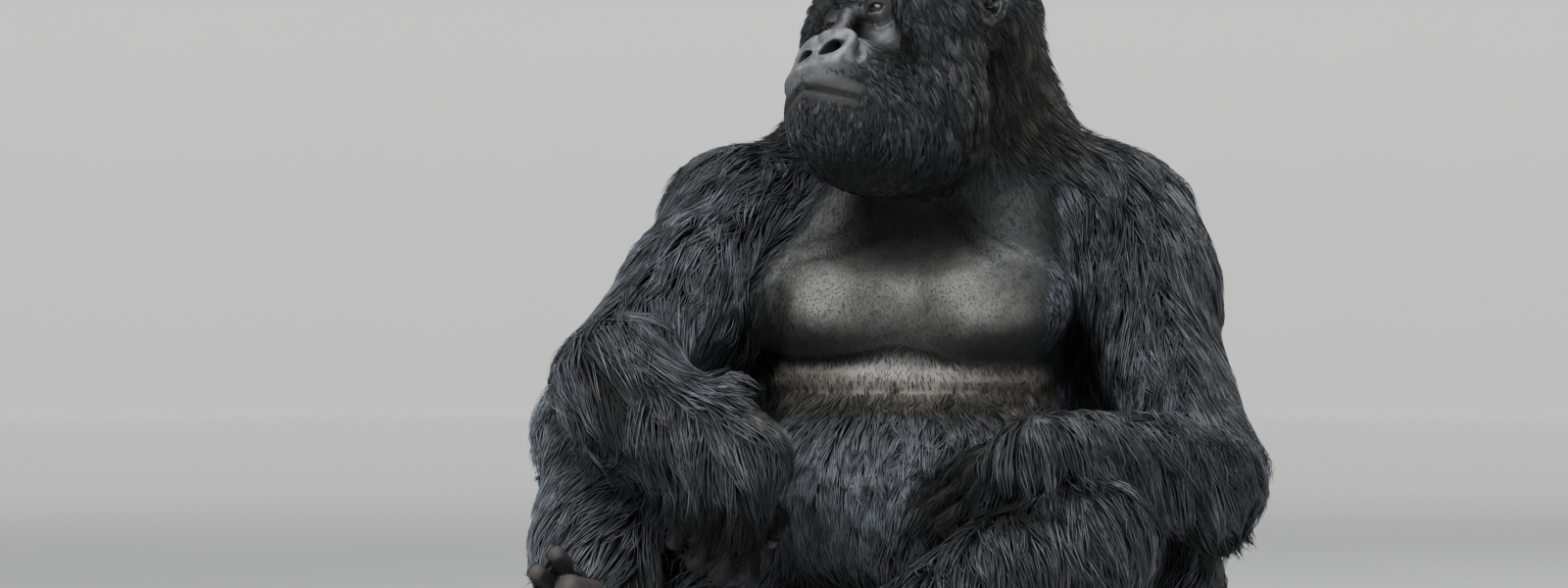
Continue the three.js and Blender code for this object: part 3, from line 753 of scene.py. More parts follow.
def surface_net(low, high):
    """Vertices and quads of the skin on a grid."""
    shape = tuple(np.ceil((high - low) / CELL).astype(int) + 1)
    values = grid_field(low, shape)
    inside = values < 0
    cells = tuple(n - 1 for n in shape)
    total, count = np.zeros(cells + (3,)), np.zeros(cells)
    corner = [np.array(c) for c in np.ndindex(2, 2, 2)]
    for a in corner:
        for axis in range(3):
            if a[axis]:
                continue
            b = a + np.eye(3, dtype=int)[axis]
            first, second = at_corner(values, a), at_corner(values, b)
            crossed = (first < 0) != (second < 0)
            share = first[crossed] / (first[crossed] - second[crossed])
            total[crossed] += a + share[:, None] * np.eye(3)[axis]
            count[crossed] += 1
    used = count > 0
    number = np.full(cells, -1)
    number[used] = np.arange(used.sum())
    vertices = low + CELL * (np.argwhere(used) + total[used] / count[used][:, None])
    return vertices, net_faces(inside, number)


def net_faces(inside, number):
    faces = []
    for axis in range(3):
        u, v = (axis + 1) % 3, (axis + 2) % 3
        ahead = np.roll(inside, -1, axis)
        crossed = np.argwhere(inside != ahead)
        keep = np.all(crossed > 0, axis=1) & np.all(crossed < np.array(inside.shape) - 1, axis=1)
        crossed = crossed[keep]
        back_u, back_v = np.eye(3, dtype=int)[u], np.eye(3, dtype=int)[v]
        ring = [crossed - back_u - back_v, crossed - back_v, crossed, crossed - back_u]
        quad = np.stack([number[tuple(cell.T)] for cell in ring], 1)
        outward = inside[tuple(crossed.T)]
        quad[~outward] = quad[~outward][:, ::-1]
        faces.append(quad)
    return np.vstack(faces)


def mesh_of(name, vertices, faces):
    """A smooth-shaded mesh from points in metres and rows of corners."""
    mesh = bpy.data.meshes.new(name)
    faces = np.asarray(faces, np.int32)
    corners = faces.shape[1]
    mesh.vertices.add(len(vertices))
    mesh.vertices.foreach_set("co", np.asarray(vertices, np.float32).ravel())
    mesh.loops.add(faces.size)
    mesh.loops.foreach_set("vertex_index", faces.ravel())
    mesh.polygons.add(len(faces))
    mesh.polygons.foreach_set("loop_start", np.arange(0, faces.size, corners, dtype=np.int32))
    mesh.update(calc_edges=True)
    mesh.polygons.foreach_set("use_smooth", np.ones(len(faces), bool))
    mesh.validate()
    return mesh


def vertices_of(mesh):
    values = np.zeros(3 * len(mesh.vertices))
    mesh.vertices.foreach_get("co", values)
    return values.reshape(-1, 3)


def layout_points(mesh):
    """A mesh's vertices in the animal's own layout."""
    return (vertices_of(mesh) - SHIFT) * 1000


def move_vertices(mesh, points):
    """Puts a mesh's vertices at points in the animal's own layout."""
    mesh.vertices.foreach_set("co", metres(points).astype(np.float32).ravel())


def refined(mesh, wanted):
    """Halves the faces whose middle is wanted, and lays the new points on the skin."""
    bm = bmesh.new()
    bm.from_mesh(mesh)
    middles = np.array([face.calc_center_median() for face in bm.faces])
    chosen = np.flatnonzero(wanted((middles - SHIFT) * 1000))
    bm.faces.ensure_lookup_table()
    edges = list({edge for i in chosen for edge in bm.faces[i].edges})
    bmesh.ops.subdivide_edges(bm, edges=edges, cuts=1, use_grid_fill=True)
    bm.to_mesh(mesh)
    bm.free()
    points = layout_points(mesh)
    moved = np.flatnonzero(wanted_margin(wanted, points))
    points[moved] = settle(skin, points[moved], 3, 4.0)
    move_vertices(mesh, points)
    return mesh


def wanted_margin(wanted, points):
    return wanted(points) | wanted(points + 3) | wanted(points - 3)


def mirrored_head(points):
    """Points in the head's frame, folded onto its left half."""
    local = into(HEAD, points)
    local[:, 0] = np.abs(local[:, 0])
    return local


def by_ear(points, reach):
    local = mirrored_head(points)
    return distance_from(local, EAR["left"].origin) < reach


def is_fine(points):
    """The face, ears, digits and chest folds."""
    x, y, z = mirrored_head(points).T
    near = ((x < 92) & (y < -78) & (z > -150) & (z < 66)) | by_ear(points, 46)
    for word in SIDES:
        for home, middle, reach in ((FOOT[word], (0, -120, -44), 80), (HAND[word], (0, -116, -20), 74)):
            near = near | (distance_from(points, out_of(home, middle)) < reach)
    x, y, z = into(TRUNK, points).T
    folds = (np.abs(x) < 190) & (y < -20) & (z > 410) & (z < 442)
    collar = (np.abs(x) < 160) & (y < -80) & (z > 515) & (z < 605)
    return near | folds | collar


def is_finer(points):
    """The face's middle, the ears and the toes that show best."""
    x, y, z = mirrored_head(points).T
    toes = distance_from(points, out_of(FOOT["right"], (12, -150, -52))) < 60
    return ((x < 74) & (y < -88) & (z > -138) & (z < 44)) | by_ear(points, 38) | toes


def is_finest(points):
    """The lids, the nose, the mouth and the wrinkles under the eyes."""
    local = mirrored_head(points)
    x, y, z = local.T
    by_eye = distance_from(local, EYE) < 21
    by_nose = (x < 54) & (y < -150) & (z > -82) & (z < -30)
    by_mouth = (x < 68) & (y < -146) & (np.abs(z + 100 + 0.45 * x) < 10)
    wrinkled = (x > 16) & (x < 62) & (y < -90) & (z > -74) & (z < 6)
    return by_eye | by_nose | by_mouth | wrinkled


# The lowest and the highest corner of the room that is searched for the skin.
SKIN_ROOM = np.array([(-470.0, -520, -12), (470, 400, 980)])


def make_skin():
    vertices, faces = surface_net(*SKIN_ROOM)
    vertices = in_parts(lambda p: settle(skin, p, 2), vertices)
    mesh = mesh_of("skin", metres(vertices), faces)
    for wanted in (is_fine, is_finer, is_finest):
        mesh = refined(mesh, wanted)
    points = layout_points(mesh)
    points[:, 2] = np.maximum(points[:, 2], 0.4)
    move_vertices(mesh, points)
    mesh.polygons.foreach_set("use_smooth", np.ones(len(mesh.polygons), bool))
    mesh.update()
    return mesh


# ---------------------------------------------------------------- markings, painted shade and painted light


def openness_for_painted_shade(points, normals):
    """1 on a free swell, less where the body stands close: the measure for painted shade, which darkens the
    coat and skin in the folds.
    """
    total = np.zeros(len(points))
    for reach in (16.0, 45.0, 110.0):
        total += np.clip(in_parts(plain_skin, points + normals * reach) / reach, 0, 1)
    return step(0.25, 0.9, total / 3)


# Painted shade: where the coat and skin are painted dark, round the hands, in the right elbow's pocket, in
# the hollow under the right forearm, under the beard and on the throat. Middle in the animal's layout, reach
# and strength.
PAINTED_SHADE_PLACES = [
    (out_of(HAND["right"], (0, -80, -10)), 92, 0.96),
    (out_of(HAND["right"], (0, -150, -20)), 85, 0.96),
    (out_of(HAND["left"], (0, -85, -10)), 92, 0.85),
    (np.array([-362.0, -322, 402]), 46, 0.85),
    (np.array([-270.0, -250, 215]), 80, 0.7),
    (out_of(HEAD, (-75, 20, -172)), 54, 0.85),
    (out_of(HEAD, (0, -85, -200)), 88, 0.6),
    (out_of(HEAD, (-184, -92, -293)), 34, 0.8),
]


def painted_shade_places(points):
    # Painted shade: how strongly each point is painted dark, from the nearest of these places.
    near = np.zeros(len(points))
    for middle, reach, strength in PAINTED_SHADE_PLACES:
        apart = distance_from(points, middle) / reach
        near = np.maximum(near, strength * step(1.15, 0.75, apart))
    return near


def painted_lightness(points, normals):
    """Painted shade: 1 where the coat keeps its colour, less in its folds, on its undersides and in the
    painted shade places, and never much less on the strip under the breast.
    """
    # Painted shade on the undersides: what faces down is darker.
    under = 0.4 + 0.6 * step(-0.8, -0.05, normals[:, 2])
    free = np.maximum(openness_for_painted_shade(points, normals) * under, 0.9 * strip(points))
    return np.clip(free * (1 - painted_shade_places(points)), 0.03, 1)


def silver(points):
    """The saddle: silver hair from the shoulder blades to the rump and out to the flanks."""
    x, y, z = into(TRUNK, points).T
    saddle = step(170, 300, z) * step(690, 600, z) * step(60, 170, y)
    return saddle * step(260, 190, np.abs(x))


def brown(points):
    """Warmer, browner hair on the neck, under the breast and round the ankles."""
    x, y, z = into(TRUNK, points).T
    neck = step(630, 690, z) * step(880, 800, z) * step(40, 110, x) * step(230, 160, x)
    band = bell(z - 384, 26) * step(0, 60, -y) * step(200, 150, np.abs(x))
    limbs = np.zeros(len(points))
    for word in SIDES:
        limbs = np.maximum(limbs, bell(distance_from(points, FOOT[word].origin), 70))
    return np.clip(0.7 * neck + band + 0.6 * limbs, 0, 1)


def strip(points):
    """1 on the band under the breast: its skin is paler, and it also gets painted light and is kept clear of
    painted shade.
    """
    x, y, z = into(TRUNK, points).T
    return step(352, 390, z) * step(424, 404, z) * step(0, 40, -y) * step(215, 150, np.abs(x + 4))


def by_feet(points):
    """1 on the toes and soles."""
    near = np.zeros(len(points))
    for word in SIDES:
        away = distance_from(points, out_of(FOOT[word], (0, -110, -50)))
        near = np.maximum(near, step(110, 70, away))
    return near


def pale_skin(points):
    """How pale the skin of the nose, the muzzle, the lower lip and the skin under the eyes is."""
    x, y, z = mirrored_head(points).T
    nose = 0.9 * step(-142, -158, y) * step(-82, -72, z) * step(-10, -30, z) * step(62, 50, x)
    muzzle = 0.34 * step(-150, -168, y) * step(-108, -92, z) * step(-66, -78, z) * step(58, 30, x)
    under_eye = bell(x - 34, 22) * bell(z + 18, 24) * (y < -84)
    lip = 0.15 * bell(above_mouth(x, z) + 6, 3) * step(54, 30, x) * (y < -150)
    return np.clip(nose + muzzle + under_eye + lip, 0, 1)


def painted_pit_shade(points):
    """Painted shade: 1 in the nostrils and in the line between the lips, which are painted near black."""
    x, y, z = mirrored_head(points).T
    into_nostril = turned_nose(into(HEAD, points)) - NOSTRIL_PIT[0]
    squeezed = into_nostril * np.array([0.75, 1, 1.3]) + np.array([0, -6, 0])
    nostrils = 1 - step(9, 17, np.linalg.norm(squeezed, axis=1))
    mouth = np.minimum(2.2 * bell(above_mouth(x, z), 3.6), 1)
    return np.maximum(nostrils, mouth * step(72, 58, x) * (y < -146))


def round_mouth(points):
    """1 on the lips and the chin, which shine less."""
    _, y, z = mirrored_head(points).T
    return step(-110, -140, y) * step(-72, -84, z)


def set_marks(mesh, marks):
    for name, values in marks.items():
        layer = mesh.attributes.new(name, "FLOAT", "POINT")
        layer.data.foreach_set("value", np.asarray(values, np.float32))


def mark_skin(mesh):
    points = layout_points(mesh)
    coat = survey_in_parts(points)[1][:, 0]
    chest, pit_shade = bare_chest(points), painted_pit_shade(points)
    pale = pale_skin(points) * (1 - pit_shade)
    # Painted shade in the folds, on the undersides and in the painted shade places; the pale skin and the
    # strip under the breast are kept clear of it.
    light = painted_lightness(points, normals_at(points))
    free = np.maximum.reduce([light, 0.9 * pale, 0.95 * strip(points)])
    marks = {
        "bare": 1 - step(0.8, 4.0, coat * (1 - chest)),
        "silver": silver(points),
        "chest": chest,
        "strip": strip(points),
        "sole": by_feet(points),
        "pale": pale,
        "pit_shade": pit_shade,
        "painted_shade_open": free,
        "gloss": free * (1 - pit_shade) * (1 - 0.55 * round_mouth(points)),
    }
    set_marks(mesh, marks)


# ---------------------------------------------------------------- materials


def material(name, **settings):
    made = bpy.data.materials.new(name)
    made.use_nodes = True
    shader = made.node_tree.nodes["Principled BSDF"]
    for socket, value in settings.items():
        shader.inputs[socket.replace("_", " ")].default_value = value
    return made, made.node_tree, shader


def node(tree, kind, **inputs):
    made = tree.nodes.new(kind)
    for name, value in inputs.items():
        made.inputs[name.replace("_", " ")].default_value = value
    return made


def attribute(tree, name):
    made = tree.nodes.new("ShaderNodeAttribute")
    made.attribute_name = name
    return made.outputs["Fac"]


def mixed(tree, share, first, second):
    """A mix of two colours, each a tuple or a socket."""
    made = tree.nodes.new("ShaderNodeMix")
    made.data_type = "RGBA"
    for socket, value in ((made.inputs[0], share), (made.inputs[6], first), (made.inputs[7], second)):
        if isinstance(value, bpy.types.NodeSocket):
            tree.links.new(value, socket)
        else:
            socket.default_value = value if isinstance(value, float) else (*value, 1)
    return made.outputs[2]


def spread(tree, value, low, high, to_low, to_high):
    made = tree.nodes.new("ShaderNodeMapRange")
    tree.links.new(value, made.inputs[0])
    for socket, number in zip(list(made.inputs)[1:5], (low, high, to_low, to_high)):
        socket.default_value = number
    return made.outputs[0]


def noise(tree, scale, detail=3.0, roughness=0.5):
    coordinates = tree.nodes.new("ShaderNodeTexCoord")
    made = node(tree, "ShaderNodeTexNoise", Scale=scale, Detail=detail, Roughness=roughness)
    tree.links.new(coordinates.outputs["Object"], made.inputs["Vector"])
    return made.outputs[0]


def cells(tree, scale):
    coordinates = tree.nodes.new("ShaderNodeTexCoord")
    made = node(tree, "ShaderNodeTexVoronoi", Scale=scale)
    made.feature = "DISTANCE_TO_EDGE"
    tree.links.new(coordinates.outputs["Object"], made.inputs["Vector"])
    return made.outputs[0]


def bumped(tree, shader, height, distance, strength=1.0, below=None):
    bump = node(tree, "ShaderNodeBump", Distance=distance, Strength=strength)
    tree.links.new(height, bump.inputs["Height"])
    if below is not None:
        tree.links.new(below, bump.inputs["Normal"])
    tree.links.new(bump.outputs[0], shader.inputs["Normal"])
    return bump.outputs[0]


# The darkest and the lightest colour of each marked kind of skin.
SKIN_COLOURS = [
    ("silver", (0.060, 0.060, 0.062), (0.085, 0.085, 0.088)),
    ("bare", (0.012, 0.012, 0.013), (0.030, 0.030, 0.032)),
    ("chest", (0.030, 0.030, 0.029), (0.078, 0.077, 0.073)),
    # The strip's colours are partly its own paler skin, partly painted light where light from above falls on
    # it.
    ("strip", (0.130, 0.123, 0.108), (0.260, 0.247, 0.220)),
    ("sole", (0.022, 0.019, 0.017), (0.052, 0.045, 0.040)),
    ("pale", (0.055, 0.060, 0.066), (0.230, 0.243, 0.256)),
]
# Near black, for painted shade in the folds, the nostrils and the mouth line.
PAINTED_SHADE_COLOUR = (0.001, 0.001, 0.001)
MATT = (0.95, 0.95, 0.95)


def skin_material():
    made, tree, shader = material("bare_skin", Specular_IOR_Level=0.7)
    patches = spread(tree, noise(tree, 70.0, 5.0, 0.65), 0.32, 0.68, 0.0, 1.0)
    # Under the coat the skin is near black: partly its own dark skin, partly painted shade beneath the hair.
    colour = mixed(tree, patches, (0.004, 0.004, 0.0045), (0.007, 0.007, 0.008))
    for name, low, high in SKIN_COLOURS:
        colour = mixed(tree, attribute(tree, name), colour, mixed(tree, patches, low, high))
    # Painted shade: the skin is darkened to near black in the folds, on the undersides and in the painted
    # shade places, and in the nostrils and the mouth line.
    colour = mixed(tree, attribute(tree, "painted_shade_open"), PAINTED_SHADE_COLOUR, colour)
    colour = mixed(tree, attribute(tree, "pit_shade"), colour, PAINTED_SHADE_COLOUR)
    tree.links.new(colour, shader.inputs["Base Color"])
    rough = spread(tree, noise(tree, 90.0, 3.0), 0.3, 0.7, 0.33, 0.47)
    rough = mixed(tree, attribute(tree, "gloss"), MATT, rough)
    tree.links.new(rough, shader.inputs["Roughness"])
    first = bumped(tree, shader, cells(tree, 420.0), 0.0008, 0.4)
    second = bumped(tree, shader, noise(tree, 160.0, 5.0, 0.6), 0.0012, 0.4, first)
    bumped(tree, shader, noise(tree, 1500.0, 2.0), 0.0005, 0.5, second)
    return made


def coat_material():
    made, tree, shader = material("coat", Specular_IOR_Level=0.5)
    along = attribute(tree, "along")
    shade = attribute(tree, "shade")
    dark = mixed(tree, shade, (0.0025, 0.0026, 0.003), (0.013, 0.0145, 0.018))
    # The bright locks' pale blue-grey tips are partly the hair's own tone, partly painted sheen.
    tip = mixed(tree, shade, (0.006, 0.0067, 0.0085), (0.270, 0.300, 0.352))
    colour = mixed(tree, along, dark, tip)
    warm = mixed(tree, shade, (0.012, 0.0105, 0.009), (0.230, 0.210, 0.185))
    colour = mixed(tree, attribute(tree, "brown"), colour, warm)
    for scale, most in ((16.0, 0.4), (44.0, 0.6)):
        patches = spread(tree, noise(tree, scale, 3.0), 0.4, 0.68, 0.0, most)
        colour = mixed(tree, patches, colour, (0.007, 0.0068, 0.007))
    grey = mixed(tree, shade, (0.17, 0.175, 0.18), (0.55, 0.56, 0.57))
    colour = mixed(tree, attribute(tree, "silver"), colour, grey)
    # Painted shade: the coat darkens to near black in its folds, on its undersides and in the painted shade
    # places, where it is also made matt.
    colour = mixed(tree, attribute(tree, "painted_shade_open"), (0.0012, 0.0012, 0.0013), colour)
    tree.links.new(colour, shader.inputs["Base Color"])
    rough = spread(tree, noise(tree, 300.0, 2.0), 0.3, 0.7, 0.36, 0.55)
    in_light = spread(tree, attribute(tree, "painted_shade_open"), 0.0, 0.5, 0.0, 1.0)
    tree.links.new(mixed(tree, in_light, MATT, rough), shader.inputs["Roughness"])
    return made


def eye_material():
    made, tree, shader = material("eye", Specular_IOR_Level=0.3, Coat_Weight=0.12, Coat_Roughness=0.05)
    turn = attribute(tree, "gaze")
    fibres = spread(tree, noise(tree, 900.0, 2.0), 0.35, 0.65, 0.0, 1.0)
    iris = mixed(tree, fibres, (0.014, 0.007, 0.0035), (0.044, 0.022, 0.011))
    white = (0.016, 0.011, 0.009)
    colour = mixed(tree, spread(tree, turn, 0.46, 0.54, 0.0, 1.0), iris, white)
    colour = mixed(tree, spread(tree, turn, 0.19, 0.23, 1.0, 0.0), colour, (0.002, 0.002, 0.002))
    tree.links.new(colour, shader.inputs["Base Color"])
    tree.links.new(spread(tree, noise(tree, 500.0), 0.3, 0.7, 0.16, 0.26), shader.inputs["Roughness"])
    return made


def nail_material():
    made, tree, shader = material("nail", Specular_IOR_Level=0.5)
    streaks = spread(tree, noise(tree, 500.0, 3.0), 0.3, 0.7, 0.0, 1.0)
    colour = mixed(tree, streaks, (0.016, 0.012, 0.010), (0.042, 0.034, 0.028))
    tree.links.new(colour, shader.inputs["Base Color"])
    tree.links.new(spread(tree, streaks, 0, 1, 0.28, 0.42), shader.inputs["Roughness"])
    bumped(tree, shader, noise(tree, 900.0, 2.0), 0.0004, 0.5)
    return made


STUDIO_GLOW = 0.58


def stage_material():
    made, tree, shader = material("studio")
    speckle = spread(tree, noise(tree, 3.0, 2.0), 0.3, 0.7, 0.0, 1.0)
    tree.links.new(mixed(tree, speckle, (0.70, 0.70, 0.69), (0.72, 0.72, 0.71)), shader.inputs["Base Color"])
    shader.inputs["Roughness"].default_value = 0.85
    shader.inputs["Emission Color"].default_value = (1, 1, 0.99, 1)
    glow = spread(tree, attribute(tree, "far"), 0, 1, 0, STUDIO_GLOW)
    tree.links.new(glow, shader.inputs["Emission Strength"])
    return made


# ---------------------------------------------------------------- the coat

# A lock's form, for long and for short hair: where its rings and its tip are along it, how wide the rings
# are, and how high they stand in the coat, as shares of its length, its width and the coat's depth.
LONG = SimpleNamespace(
    stations=(0.0, 0.36, 0.70, 1.0),
    widths=(0.75, 1.0, 0.6),
    heights=(0, 0.42, 0.75, 0.95),
)
SHORT = SimpleNamespace(stations=(0.0, 0.55, 1.0), widths=(0.9, 0.8), heights=(0, 0.6, 0.95))
# The side of each lock's patch on the map.
PATCH = 0.003


def fur(count, width, gather, crowd, form, hang=0.0, tone=0.0):
    """A piece of coat: how many locks and their width in millimetres, how far the tips of a crowd of locks
    gather, the form of a lock, how far it hangs loose from an underside, and how much lighter it is: a
    little of the hair's own tone, and painted light on the belly, the chest, the right arm and the right leg."""
    locks = dict(count=count, width=width, form=form, tone=tone)
    return SimpleNamespace(gather=gather, crowd=crowd, hang=hang, **locks)


# The last number lightens a piece: a little of the hair's own tone, and painted light where light falls in
# front, most on the belly and the right leg.
COATS = {
    "head": fur(18500, 1.6, 0.75, 14, SHORT, 0.2, 0.04),
    "face": fur(15000, 1.2, 0.65, 11, SHORT, 0.0, 0.06),
    "neck": fur(9000, 1.7, 0.4, 9, SHORT),
    "chest": fur(9500, 1.0, 0.1, 5, SHORT, 0.0, 0.2),
    "belly": fur(10000, 1.9, 0.6, 12, LONG, 0.0, 0.85),
    "back": fur(6000, 3.0, 0.4, 9, LONG),
    "rump": fur(3500, 3.4, 0.4, 9, LONG),
    "arm_right": fur(12400, 2.0, 0.75, 15, LONG, 0.45, 0.15),
    "arm_left": fur(12400, 2.0, 0.7, 15, LONG, 0.35, 0.05),
    "leg_right": fur(8500, 2.3, 0.65, 12, LONG, 0.2, 1.0),
    "leg_left": fur(9000, 2.3, 0.65, 12, LONG, 0.2, 0.06),
}
# The torso's shapes are the trunk's and then the head's.
TRUNK_SHAPES = len(trunk_shapes())


def coat_part(owner, points):
    """The coat piece that each point belongs to, or nothing where the skin is bare."""
    names = np.array(SHAPE_GROUP)[owner]
    coat = np.array([shape.coat for g in GROUPS for shape in g.shapes])[owner]
    x, y, z = into(TRUNK, points).T
    part = np.full(len(points), "rump", dtype="<U12")
    torso = names == "torso"
    part[torso & (z > 200) & (y < 30)] = "belly"
    part[torso & (z > 200) & (y >= 30)] = "back"
    part[torso & (z > 640)] = "neck"
    part[torso & (bare_chest(points) > 0.3)] = "chest"
    head = torso & (owner >= TRUNK_SHAPES)
    part[head] = "head"
    x, y, z = mirrored_head(points).T
    part[head & (x < 88) & (y < -84) & (z > -150) & (z < 64)] = "face"
    for word in SIDES:
        for limb, pieces in (("arm", ("arm", "hand", "fingers")), ("leg", ("leg", "foot", "toes"))):
            for piece in pieces:
                part[(names == f"{piece}_{word}") & (coat > 2)] = f"{limb}_{word}"
        part[(names == "ear_" + word)] = "head"
    ends = np.isin(names, [piece + word for piece in ("foot_", "fingers_", "toes_") for word in SIDES])
    part[(points[:, 2] < 6) | (ends & (coat < 2))] = ""
    part[head & (nakedness(points) > 0.99)] = ""
    return part


def nakedness(points):
    """1 on the nose, the lips, the lids and the skin under the eyes, and less towards the hair round them."""
    x, y, z = mirrored_head(points).T
    nose = step(62, 50, x) * step(-90, -80, z) * step(-16, -28, z)
    muzzle = 0.86 * step(58, 22, x) * step(-112, -100, z) * step(-78, -84, z)
    lips = step(72, 60, x) * step(12, 8, np.abs(above_mouth(x, z)))
    eye = step(23, 17, np.hypot(x - EYE[0], z - EYE[2]))
    bags = step(2.1, 0.6, ((x - 34) / 27) ** 2 + ((z + 20) / 30) ** 2)
    bridge = step(32, 22, x) * step(-40, -30, z) * step(26, 12, z)
    front = np.maximum.reduce([nose, muzzle, lips]) * (y < -142)
    return np.maximum(front, np.maximum.reduce([eye, bags, bridge]) * (y < -80))


# Where the coat turns away from its part's own lie: middle, reach, the way it lies, and weight.
SWIRLS = [
    ((-330, -290, 450), 60, (0.80, -0.35, -0.55), 3.5),
    ((-270, -340, 425), 55, (0.85, -0.30, -0.50), 3.5),
    ((-215, -375, 385), 50, (0.80, -0.20, -0.60), 3.5),
    ((-170, -400, 345), 45, (0.55, -0.20, -0.85), 2.5),
    ((-350, -320, 360), 55, (-0.80, -0.20, -0.55), 3.0),
    ((-300, -370, 350), 50, (-0.70, -0.20, -0.70), 3.0),
    ((-245, -410, 320), 45, (-0.25, -0.15, -1.0), 2.5),
    ((-190, -430, 290), 45, (0.25, -0.10, -1.0), 2.0),
    ((-230, 10, 640), 90, (-0.7, -0.4, -0.6), 1.5),
    ((300, 20, 640), 90, (0.4, -0.3, -0.9), 1.5),
    ((260, -110, 500), 70, (-0.1, -0.3, -1.0), 1.5),
    ((360, -60, 450), 80, (0.35, -0.2, -1.0), 1.5),
    ((230, -330, 340), 60, (0.85, -0.2, -0.5), 2.0),
    ((160, -350, 340), 85, (0.25, -0.25, -1.0), 4.5),
    ((95, -350, 290), 60, (-0.15, -0.3, -1.0), 4.5),
    ((220, -390, 270), 70, (0.6, -0.2, -0.8), 2.0),
    ((270, -270, 330), 90, (0.35, -0.25, -1.0), 2.0),
]


def lie_at(points, lie):
    """The way the hair lies, with the swirls counted in."""
    total = lie.copy()
    for middle, reach, way, weight in SWIRLS:
        share = weight * bell(distance_from(points, middle), reach)
        total += share[:, None] * unit(way)
    return unit(total)


def spots_on(points, corners, count):
    """Points spread evenly over triangles, with some jitter."""
    a, b, c = (points[corners[:, k]] for k in range(3))
    area = np.linalg.norm(np.cross(b - a, c - a), axis=1)
    ends = np.cumsum(area)
    marks = (np.arange(count) + rng.random(count)) * (ends[-1] / count)
    chosen = np.searchsorted(ends, marks).clip(0, len(area) - 1)
    u, v = rng.random(count), rng.random(count)
    over = u + v > 1
    u[over], v[over] = 1 - u[over], 1 - v[over]
    return a[chosen] + u[:, None] * (b - a)[chosen] + v[:, None] * (c - a)[chosen]


def pushed_out(points, least, most):
    """Points kept between the least and the most height over the skin."""
    here = in_parts(plain_skin, points)
    slope = unit(gradient_in_parts(points, here))
    wanted = np.clip(here, least, most)
    return points + slope * (wanted - here)[:, None], slope


def leaders_of(roots, crowd):
    """For each root, the number of the leading root that its crowd follows."""
    leaders = np.arange(0, len(roots), crowd)
    tree = kdtree.KDTree(len(leaders))
    for number, leader in enumerate(leaders):
        tree.insert(roots[leader], number)
    tree.balance()
    return np.array([leaders[tree.find(root)[1]] for root in roots])


def gathered(spines, own, kind):
    """Tips drawn towards the tip of the leading lock, so that hair hangs in wisps."""
    pull = kind.gather * np.array(kind.form.stations)[None, :, None] ** 2
    apart = np.linalg.norm(spines[own, 0] - spines[:, 0], axis=1)
    pull = pull * (apart < 30)[:, None, None]
    return spines + (spines[own] - spines) * pull


def shared(values, own, share):
    """Each lock's random value, mixed with its leader's."""
    return values * (1 - share) + values[own] * share


def grow(roots, own, hair, coat, lie, kind):
    """The spine of each lock, from its root to its tip."""
    count = len(roots)
    form = kind.form
    normal = normals_at(roots)
    reach = hair * rng.uniform(0.7, 1.2, count)
    jitter = shared(rng.normal(0, 0.2, (count, 3)), own, 0.6)
    lift = shared(rng.uniform(0.5, 1.3, count), own, 0.5)
    lift[rng.random(count) < 0.12] *= 1.6
    spine = [roots - normal * 1.5]
    rise = np.clip(coat / np.maximum(hair, 1), 0.12, 0.6)
    for k in range(1, len(form.stations)):
        hanging = kind.hang * np.clip(-normal[:, 2], 0, 1)
        way = lie + jitter + hanging[:, None] * np.array([0, 0, -1.0])
        flat = way - normal * ((way * normal).sum(1) * (1 - 0.6 * hanging))[:, None]
        heading = unit(unit(flat) + normal * (rise * (1.2 - 0.5 * k))[:, None])
        point = spine[-1] + heading * (reach * (form.stations[k] - form.stations[k - 1]))[:, None]
        top = coat * form.heights[k] * lift + 0.8
        loose = top + hanging * reach * form.stations[k] * 0.5
        point, normal = pushed_out(point, np.minimum(top * 0.55, 12), loose)
        spine.append(point)
    return np.stack(spine, 1)


def lock_faces(rings):
    """The closed surface of one lock: a base, bands between rings of three, and a tip."""
    faces = [(0, 2, 1)]
    for ring in range(rings - 1):
        for k in range(3):
            a, b = 3 * ring + k, 3 * ring + (k + 1) % 3
            faces += [(a, b, b + 3), (a, b + 3, a + 3)]
    last = 3 * (rings - 1)
    faces += [(last + k, last + (k + 1) % 3, 3 * rings) for k in range(3)]
    return np.array(faces)


def lock_vertices(spines, width, form):
    """Rings of three points round each spine, flat side down, and the tip."""
    count = len(spines)
    heading = unit(spines[:, 1:] - spines[:, :-1])
    normal = normals_at(spines[:, 1])
    twist = rng.normal(0, 0.45, count)
    c, s = np.cos(twist)[:, None], np.sin(twist)[:, None]
    rings = []
    for k, share in enumerate(form.widths):
        ahead = heading[:, k]
        across = unit(np.cross(ahead, normal))
        above = np.cross(across, ahead)
        across, above = across * c + above * s, above * c - across * s
        size = (width * share)[:, None]
        middle = spines[:, k]
        rings += [middle + across * size * 0.5, middle + above * size * 0.34, middle - across * size * 0.5]
    return np.stack(rings + [spines[:, -1]], 1)


# How far the two halves of a piece's axis reach, as shares of their lengths.
AXIS_ENDS = ((-0.6, 1.0), (0.0, 1.6))


def axis_of(part):
    """The bent line that a coat piece lies round, and a direction to measure its turns from."""
    if part.startswith(("arm", "leg")):
        limb, word = part.split("_")
        names = ("shoulder", "elbow", "wrist") if limb == "arm" else ("hip", "knee", "ankle")
        return np.array([JOINTS[word][name] for name in names], float), (0.3, 0.2, 1.0)
    if part in ("head", "face"):
        return out_of(HEAD, [(0, 0, z) for z in (-150, 0, 150)]), (1, 0, 0)
    return out_of(TRUNK, [(0, 40, z) for z in (0, 400, 860)]), (1, 0, 0)


